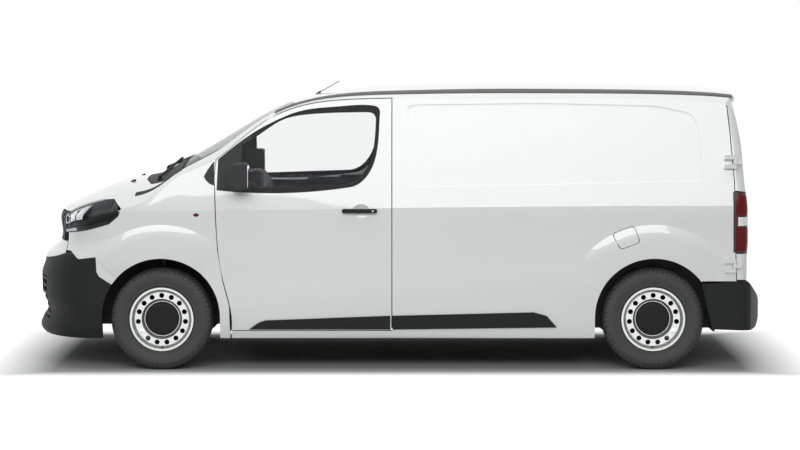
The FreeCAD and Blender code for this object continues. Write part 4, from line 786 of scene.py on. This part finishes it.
def lamp_layer(columns, along, up, depth_at, thick, steps=(26, 14)):
    """A sheet over a part of a lamp, with a depth behind its outer surface for each share of that part."""
    front = []
    back = []
    last_row = len(columns[0]) - 1
    for a in spaced(0.0, 1.0, steps[0]):
        at = (along[0] + (along[1] - along[0]) * a) * (len(columns) - 1)
        near = columns[int(at)]
        far = columns[min(int(at) + 1, len(columns) - 1)]
        blend = at - int(at)
        over = []
        under = []
        for b in spaced(0.0, 1.0, steps[1]):
            row = (up[0] + (up[1] - up[0]) * b) * last_row
            low = int(row)
            high = min(low + 1, last_row)
            part = row - low
            place = near[low][0].lerp(near[high][0], part).lerp(far[low][0].lerp(far[high][0], part), blend)
            facing = near[low][1].lerp(far[high][1], 0.5).normalized()
            depth = depth_at(a, b)
            over.append(place - facing * depth)
            under.append(place - facing * (depth + thick))
        front.append(over)
        back.append(under)
    return shell(front, back)


def bowl(edge, middle):
    """Depth of a rounded bowl, or of a bulge where the depths are negative."""

    def depth(a, b):
        return edge + (middle - edge) * (4.0 * a * (1.0 - a)) ** 0.5 * (4.0 * b * (1.0 - b)) ** 0.5

    return depth


def housing_depth(a, b):
    """The black housing starts right behind the cover's rim and has ribs along its lower part."""
    rim = min(1.0, 12.0 * min(a, 1.0 - a), 6.0 * min(b, 1.0 - b))
    rib = 0.004 if 0.18 < b < 0.24 or 0.30 < b < 0.36 else 0.0
    return 0.005 + 0.030 * rim - rib


cover_thickness = 0.003
housing_thickness = 0.002
reflector_thickness = 0.0015
whole = (0.0, 1.0)
# Along the lamp, up the lamp, finish, and depth at the edge and in the middle
lamp_parts = [
    ((0.03, 0.20), (0.42, 0.93), reflector, 0.012, 0.034),
    ((0.23, 0.40), (0.42, 0.93), reflector, 0.012, 0.034),
    ((0.44, 0.58), (0.42, 0.93), frosted, 0.010, 0.024),
    ((0.03, 0.46), (0.03, 0.15), frosted, 0.007, 0.010)]

for word, columns in head_lamps.items():
    sheet = lamp_layer(columns, whole, whole, bowl(0.0, 0.0), cover_thickness, (lamp_columns, lamp_rows))
    cover = piece("lamp_cover_" + word, sheet, lens_clear, "root")
    if word == "left":
        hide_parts("headlamps")
    sheet = lamp_layer(columns, (0.005, 0.995), (0.02, 0.98), housing_depth, housing_thickness, (60, 40))
    piece("lamp_housing_" + word, sheet, lamp_black, "root")
    for number, (along, up, finish, edge, deep) in enumerate(lamp_parts):
        sheet = lamp_layer(columns, along, up, bowl(edge, deep), reflector_thickness)
        piece("lamp_reflector_%s_%d" % (word, number + 1), sheet, finish, "root")
print("headlamp pieces:", 2 * (2 + len(lamp_parts)))

# %% [markdown]
# ## Tail lamps
# Each tail lamp has three modules on a dark red body: a red one above, a clear one for reversing in the
# middle, and a taller red one below. Each module is a low bulge over the body, so its edge catches a line
# of light. The CAD lamp stays as that body, in a darker red than its lenses.

# %% Tail lamp modules
# Along the lamp from its inner end to the side, up the lamp, finish, rise at the edge and in the middle
tail_parts = [
    ("upper", (0.04, 0.93), (0.615, 0.965), lens_red, -0.0010, -0.0050),
    ("clear", (0.04, 0.86), (0.445, 0.590), frosted, -0.0005, -0.0025),
    ("lower", (0.04, 0.93), (0.030, 0.420), lens_red, -0.0010, -0.0050)]
tail_centre = (2.235, 0.860)
tail_turns = (-34.0, 104.0)
tail_heights = (0.780, 1.200)
module_thickness = 0.004
for word, side in both_sides:
    neighbours = ["body_side_" + word, "rear_door_" + word]
    centre = (tail_centre[0], side * tail_centre[1])
    columns = lamp_surface("tail_lamps", neighbours, centre, tail_turns, tail_heights, 1.0)
    for name, along, up, finish, edge, middle in tail_parts:
        sheet = lamp_layer(columns, along, up, bowl(edge, middle), module_thickness, (40, 20))
        piece("tail_%s_%s" % (name, word), sheet, finish, "root")
    print("tail lamp", word, "columns:", len(columns))
for slot in nodes["tail_lamps"].material_slots:
    slot.material = gasket.material

# %% [markdown]
# ## Small parts on the body
# The black corner in front of each door window, the side repeaters and the lock buttons are low domes or
# sheets that follow the panel under them. A repeater is a red dome in a slightly larger black rim.

# %% Domes and black corners
dome_rings = 7
dome_steps = 28
dome_foot = -0.0015
dome_tip = 0.02


def dome(skin, side, x, z, half_long, half_high, rise):
    """A low oval dome on a side panel; its foot goes a little into the panel."""
    rings = []
    for number in range(dome_rings + 1):
        share = number / dome_rings
        lift = rise * math.sqrt(max(0.0, 1.0 - share ** 2)) if number < dome_rings else dome_foot
        ring = []
        for step in range(dome_steps):
            turn = 2.0 * math.pi * step / dome_steps
            place, facing = skin.beside(x + half_long * max(share, dome_tip) * math.cos(turn),
                                        z + half_high * max(share, dome_tip) * math.sin(turn), side)
            ring.append(place + facing * lift)
        rings.append(ring)
    return closed_stack(rings)


# Places along the van and their heights
corner_top = [(-1.297, 1.290), (-1.275, 1.331), (-1.250, 1.367), (-1.2285, 1.393)]
corner_low = [(-1.297, 1.288), (-1.280, 1.262), (-1.258, 1.243), (-1.2285, 1.231)]
corner_columns = spaced(-1.2965, -1.2290, 16)
corner_rise = 0.0022
corner_depth = 0.0015
repeater_at = (-1.3475, 1.038)
lock_at = (-0.177, 1.065)
# Half length, half height and rise of each dome
repeater_size = (0.0175, 0.0100, 0.0050)
rim_size = (0.0205, 0.0130, 0.0016)
lock_size = (0.0065, 0.0065, 0.0015)
for word, side in both_sides:
    wing = Skin("fenders", "windscreen_frame", "body_side_" + word)
    corner = side_patch(wing, side, lambda x: (between(corner_low, x), between(corner_top, x)),
                        corner_columns, corner_rise, corner_depth)
    piece("window_corner_" + word, corner, door_black, "root")
    lens = dome(wing, side, *repeater_at, *repeater_size)
    piece("repeater_" + word, lens, lens_red, "root")
    rim = dome(wing, side, *repeater_at, *rim_size)
    piece("repeater_rim_" + word, rim, hard_black, "root")
    door_skin = Skin("door_trim_" + word, "door_" + word)
    button = dome(door_skin, side, *lock_at, *lock_size)
    piece("lock_button_" + word, button, paint, "door_" + word)
print("corners, repeaters and lock buttons: 8")

# %% [markdown]
# A mirror glass is flat and fills the rear face of its housing. It is a thin plate just behind that face,
# with rounded corners, and its finish is almost a perfect mirror.

# %% Mirror glasses
mirror_inner = 0.935
mirror_outer = 1.088
mirror_low = 1.226
mirror_high = 1.370
mirror_corner = 0.012
corner_reach = 0.015
look_from = -0.90
housing_front = -1.06
housing_rear = -0.9965
mirror_proud = 0.0030
mirror_sunk = 0.0010
mirror_glass = Finish("mirror_glass", Metallic=1.0)
mirror_smear = mirror_glass.noise(12.0)
mirror_glass.feed("Base Color", mirror_glass.mix(mirror_smear, rgb(0.80, 0.82, 0.83), rgb(0.86, 0.87, 0.88)))
mirror_glass.feed("Roughness", 0.015 + mirror_smear * 0.02)
for word, side in both_sides:
    head = Skin("door_trim_" + word)
    front = []
    back = []
    for y in spaced(mirror_inner, mirror_outer, 12):
        inward = min(y - mirror_inner, mirror_outer - y)
        trim_z = mirror_corner * max(0.0, 1.0 - inward / corner_reach) ** 2
        over = []
        under = []
        for z in spaced(mirror_low + trim_z, mirror_high - trim_z, 12):
            place = head.hit((look_from, side * y, z), (-1.0, 0.0, 0.0))[0]
            if place is None or place.x < housing_front:
                place = Vector((housing_rear, side * y, z))
            over.append((place.x + mirror_proud, side * y, z))
            under.append((place.x - mirror_sunk, side * y, z))
        front.append(over)
        back.append(under)
    piece("mirror_glass_" + word, shell(front, back), mirror_glass, "door_" + word)
print("mirror glasses: 2")

# %% [markdown]
# ## Door cards
# Inside, each front door is covered by a grained card with an armrest and a pocket. The card is a grid laid
# on the inner face of the door by rays from inside the cab, and the armrest is a swell of that grid.

# %% Door cards
card_ends = (-1.140, -0.110)
card_heights = (0.345, 1.205)
card_steps = 44
card_nearest = 0.780
card_furthest = 0.900
card_unmet = 0.86
card_gap = 0.002
card_middle = -0.62
armrest_height = 0.86
pocket_height = 0.47
inside_cab = 0.40


def card_relief(x, z):
    """How far the card stands out: an armrest high up and a pocket lip low down."""
    along = x - card_middle
    rest = math.exp(-((z - armrest_height) / 0.045) ** 4) * math.exp(-(along / 0.30) ** 6)
    pocket = math.exp(-((z - pocket_height) / 0.10) ** 6) * math.exp(-(along / 0.38) ** 6)
    return 0.006 + 0.040 * rest + 0.028 * pocket


for word, side in both_sides:
    inner = Skin("door_" + word, "door_trim_" + word)
    front = []
    back = []
    for x in spaced(*card_ends, card_steps):
        over = []
        under = []
        for z in spaced(*card_heights, card_steps):
            place = inner.hit((x, side * inside_cab, z), (0.0, side, 0.0))[0]
            y = abs(place.y) if place is not None else card_unmet
            y = min(max(y, card_nearest), card_furthest) - card_gap
            over.append((x, side * (y - card_relief(x, z)), z))
            under.append((x, side * y, z))
        front.append(over)
        back.append(under)
    piece("door_card_" + word, shell(front, back), cab_plastic, "door_" + word, 50.0)
print("door cards: 2")

# %% [markdown]
# ## Mud flaps and washer jets
# Behind each front wheel hangs a small rubber flap, a thin shell that is bowed a little at its edges. Two
# moulded washer jets stand on the hood: each is a stack of oval rings that starts just inside the metal.

# %% Mud flaps
flap_inner = 0.800
flap_outer = 0.905
flap_heights = (0.192, 0.306)
flap_front = -1.160
flap_thickness = 0.004
flap_bow = 0.010
flap_lean = 0.012
flap_hung_at = 0.31
flap_steps = 8
flap_middle = (flap_inner + flap_outer) / 2.0
flap_half = (flap_outer - flap_inner) / 2.0
for word, side in both_sides:
    front = []
    back = []
    for y in spaced(flap_inner, flap_outer, flap_steps):
        bowed = flap_front - flap_bow * ((y - flap_middle) / flap_half) ** 2
        line = [(bowed + flap_lean * (flap_hung_at - z), side * y, z)
                for z in spaced(*flap_heights, flap_steps)]
        front.append(line)
        back.append([(x - flap_thickness, y_side, z) for x, y_side, z in line])
    piece("mud_flap_" + word, shell(front, back), rubber, "root")
print("mud flaps:", len(both_sides))

# %% Washer jets
jet_places = [(-1.825, -0.350), (-1.831, 0.350)]
# Share of the jet's full width, and height above the hood
jet_steps = [(1.0, -0.002), (1.0, 0.004), (0.86, 0.009), (0.55, 0.0125), (0.1, 0.0135)]
jet_half_length = 0.018
jet_half_width = 0.011
jet_lean = 0.004
jet_upright_to = 0.004
jet_points = 20
look_down_from = 1.8
bonnet = Skin("hood")
for number, (x, y) in enumerate(jet_places):
    foot = bonnet.hit((x, y, look_down_from), (0.0, 0.0, -1.0))[0]
    rings = []
    for share, lift in jet_steps:
        ring = []
        for turn in spaced(0.0, 2.0 * math.pi * (jet_points - 1) / jet_points, jet_points):
            along = jet_half_length * share * math.cos(turn) + jet_lean * (lift > jet_upright_to)
            up = lift + jet_lean * math.cos(turn) * share
            ring.append(foot + Vector((along, jet_half_width * share * math.sin(turn), up)))
        rings.append(ring)
    piece("washer_jet_%d" % (number + 1), closed_stack(rings), hard_black, "hood")
print("washer jets:", len(jet_places))

# %% [markdown]
# ## The studio
# The floor is plain and pale, and the light is soft and comes from all sides. Only the camera, mirrors and
# glass see the pure white of the background, so no extra light falls on the paint from it.

# %% World light
surround_strength = 0.40
world = bpy.data.worlds.new("studio")
bpy.context.scene.world = world
world.use_nodes = True
world_nodes = world.node_tree.nodes
world_links = world.node_tree.links
surround = world_nodes["Background"]
surround.inputs["Color"].default_value = rgb(0.96, 0.98, 0.97)
surround.inputs["Strength"].default_value = surround_strength
white = world_nodes.new("ShaderNodeBackground")
white.inputs["Color"].default_value = rgb(1.0)
white.inputs["Strength"].default_value = 1.0
rays = world_nodes.new("ShaderNodeLightPath")
kinds_of_ray = ("Is Camera Ray", "Is Glossy Ray", "Is Transmission Ray")
seen = rays.outputs[kinds_of_ray[0]]
for kind in kinds_of_ray[1:]:
    either = world_nodes.new("ShaderNodeMath")
    either.operation = "MAXIMUM"
    world_links.new(seen, either.inputs[0])
    world_links.new(rays.outputs[kind], either.inputs[1])
    seen = either.outputs[0]
choice = world_nodes.new("ShaderNodeMixShader")
world_links.new(seen, choice.inputs[0])
world_links.new(surround.outputs[0], choice.inputs[1])
world_links.new(white.outputs[0], choice.inputs[2])
world_links.new(choice.outputs[0], world_nodes["World Output"].inputs["Surface"])

# %% [markdown]
# The floor glows for those same rays alone, and only away from the van: under it and just beside it the glow
# fades out. That patch without glow, in the van's outline, is a painted shadow, so the floor there stays as
# dark as the shadow on the real floor.

# %% Floor
shadow_half_length = 2.30
shadow_half_width = 0.98
shadow_end_fade = 0.55
shadow_side_fade = shadow_end_fade * 0.5
floor_glow = rgb(0.88)
floor_reach = 400.0
floor_mesh = bpy.data.meshes.new("floor")
floor_corners = [(-floor_reach, -floor_reach, 0), (floor_reach, -floor_reach, 0),
                 (floor_reach, floor_reach, 0), (-floor_reach, floor_reach, 0)]
floor_mesh.from_pydata(floor_corners, [], [(0, 1, 2, 3)])
studio_floor = bpy.data.objects.new("studio_floor", floor_mesh)
bpy.context.scene.collection.objects.link(studio_floor)
floor_finish = Finish("studio_floor_white", Roughness=0.9, Specular_IOR_Level=0.0)
floor_finish.shader.inputs["Base Color"].default_value = rgb(0.42)
floor_finish.shader.inputs["Emission Strength"].default_value = 1.0
by_camera, by_gloss, by_glass = [floor_finish.node("ShaderNodeLightPath", {}, {}, kind)
                                 for kind in kinds_of_ray]


def larger(first, second):
    """The larger of two values on the floor."""
    return floor_finish.node("ShaderNodeMath", {"operation": "MAXIMUM"}, {0: first, 1: second})


def distance(axis):
    """How far a place on the floor is from the van's middle along one axis."""
    return floor_finish.node("ShaderNodeMath", {"operation": "ABSOLUTE"}, {0: floor_finish.part(axis)})


floor_seen = larger(larger(by_camera, by_gloss), by_glass)
off_ends = floor_finish.spread(distance("X"), shadow_half_length, shadow_half_length + shadow_end_fade)
off_sides = floor_finish.spread(distance("Y"), shadow_half_width, shadow_half_width + shadow_side_fade)
# Painted shadow: the floor has no glow over the van's outline and just beside it.
glow_share = floor_seen * larger(off_ends, off_sides)
floor_finish.feed("Emission Color", floor_finish.mix(glow_share, rgb(0.0), floor_glow))
studio_floor.data.materials.append(floor_finish.material)
print("floor: shadow kept within", shadow_half_length, "by", shadow_half_width, "metres of the middle")

# %% [markdown]
# Two wide soft panels light the van. The one overhead lifts the roof and hood. The one behind the camera
# lights the side, and its mirror image in the clear coat ends at the crease, where the paint gets darker.

# %% Lamps
# Place, aim, width, depth, and power in watts
panels = {
    "overhead": ((0.0, -1.5, 6.5), (0.0, 0.0, 0.0), 9.0, 5.0, 160.0),
    "camera_side": ((-1.0, -8.5, 4.6), (0.0, 0.0, 1.4), 9.0, 2.5, 312.0),
}


def panel_lamp(name, place, aim, width, depth, power):
    """A large soft lamp that points at a place."""
    light = bpy.data.lights.new(name, "AREA")
    light.shape = "RECTANGLE"
    light.size = width
    light.size_y = depth
    light.energy = power
    lamp = bpy.data.objects.new(name, light)
    lamp.location = place
    lamp.rotation_euler = (Vector(aim) - Vector(place)).to_track_quat("-Z", "Y").to_euler()
    bpy.context.scene.collection.objects.link(lamp)


for name, settings in panels.items():
    panel_lamp(name, *settings)
print("lamps:", len(panels))

# %% [markdown]
# ## The camera
# The picture was taken with a long lens from about seventeen metres away and a little above the windows,
# looking slightly down at the middle of the van.

# %% Camera
camera_place = (0.003, -16.905, 2.215)
camera_tilt = 4.454
lens_length = 108.8
camera_data = bpy.data.cameras.new("camera")
camera_data.lens = lens_length
camera_data.sensor_width = 36.0
camera_data.clip_end = 200.0
camera = bpy.data.objects.new("camera", camera_data)
camera.location = camera_place
camera.rotation_euler = (math.radians(90.0 - camera_tilt), 0.0, 0.0)
bpy.context.scene.collection.objects.link(camera)
bpy.context.scene.camera = camera
bpy.context.scene.view_settings.view_transform = "Standard"
print("camera:", round(-camera_place[1], 2), "metres away, tilted down by", camera_tilt, "degrees")
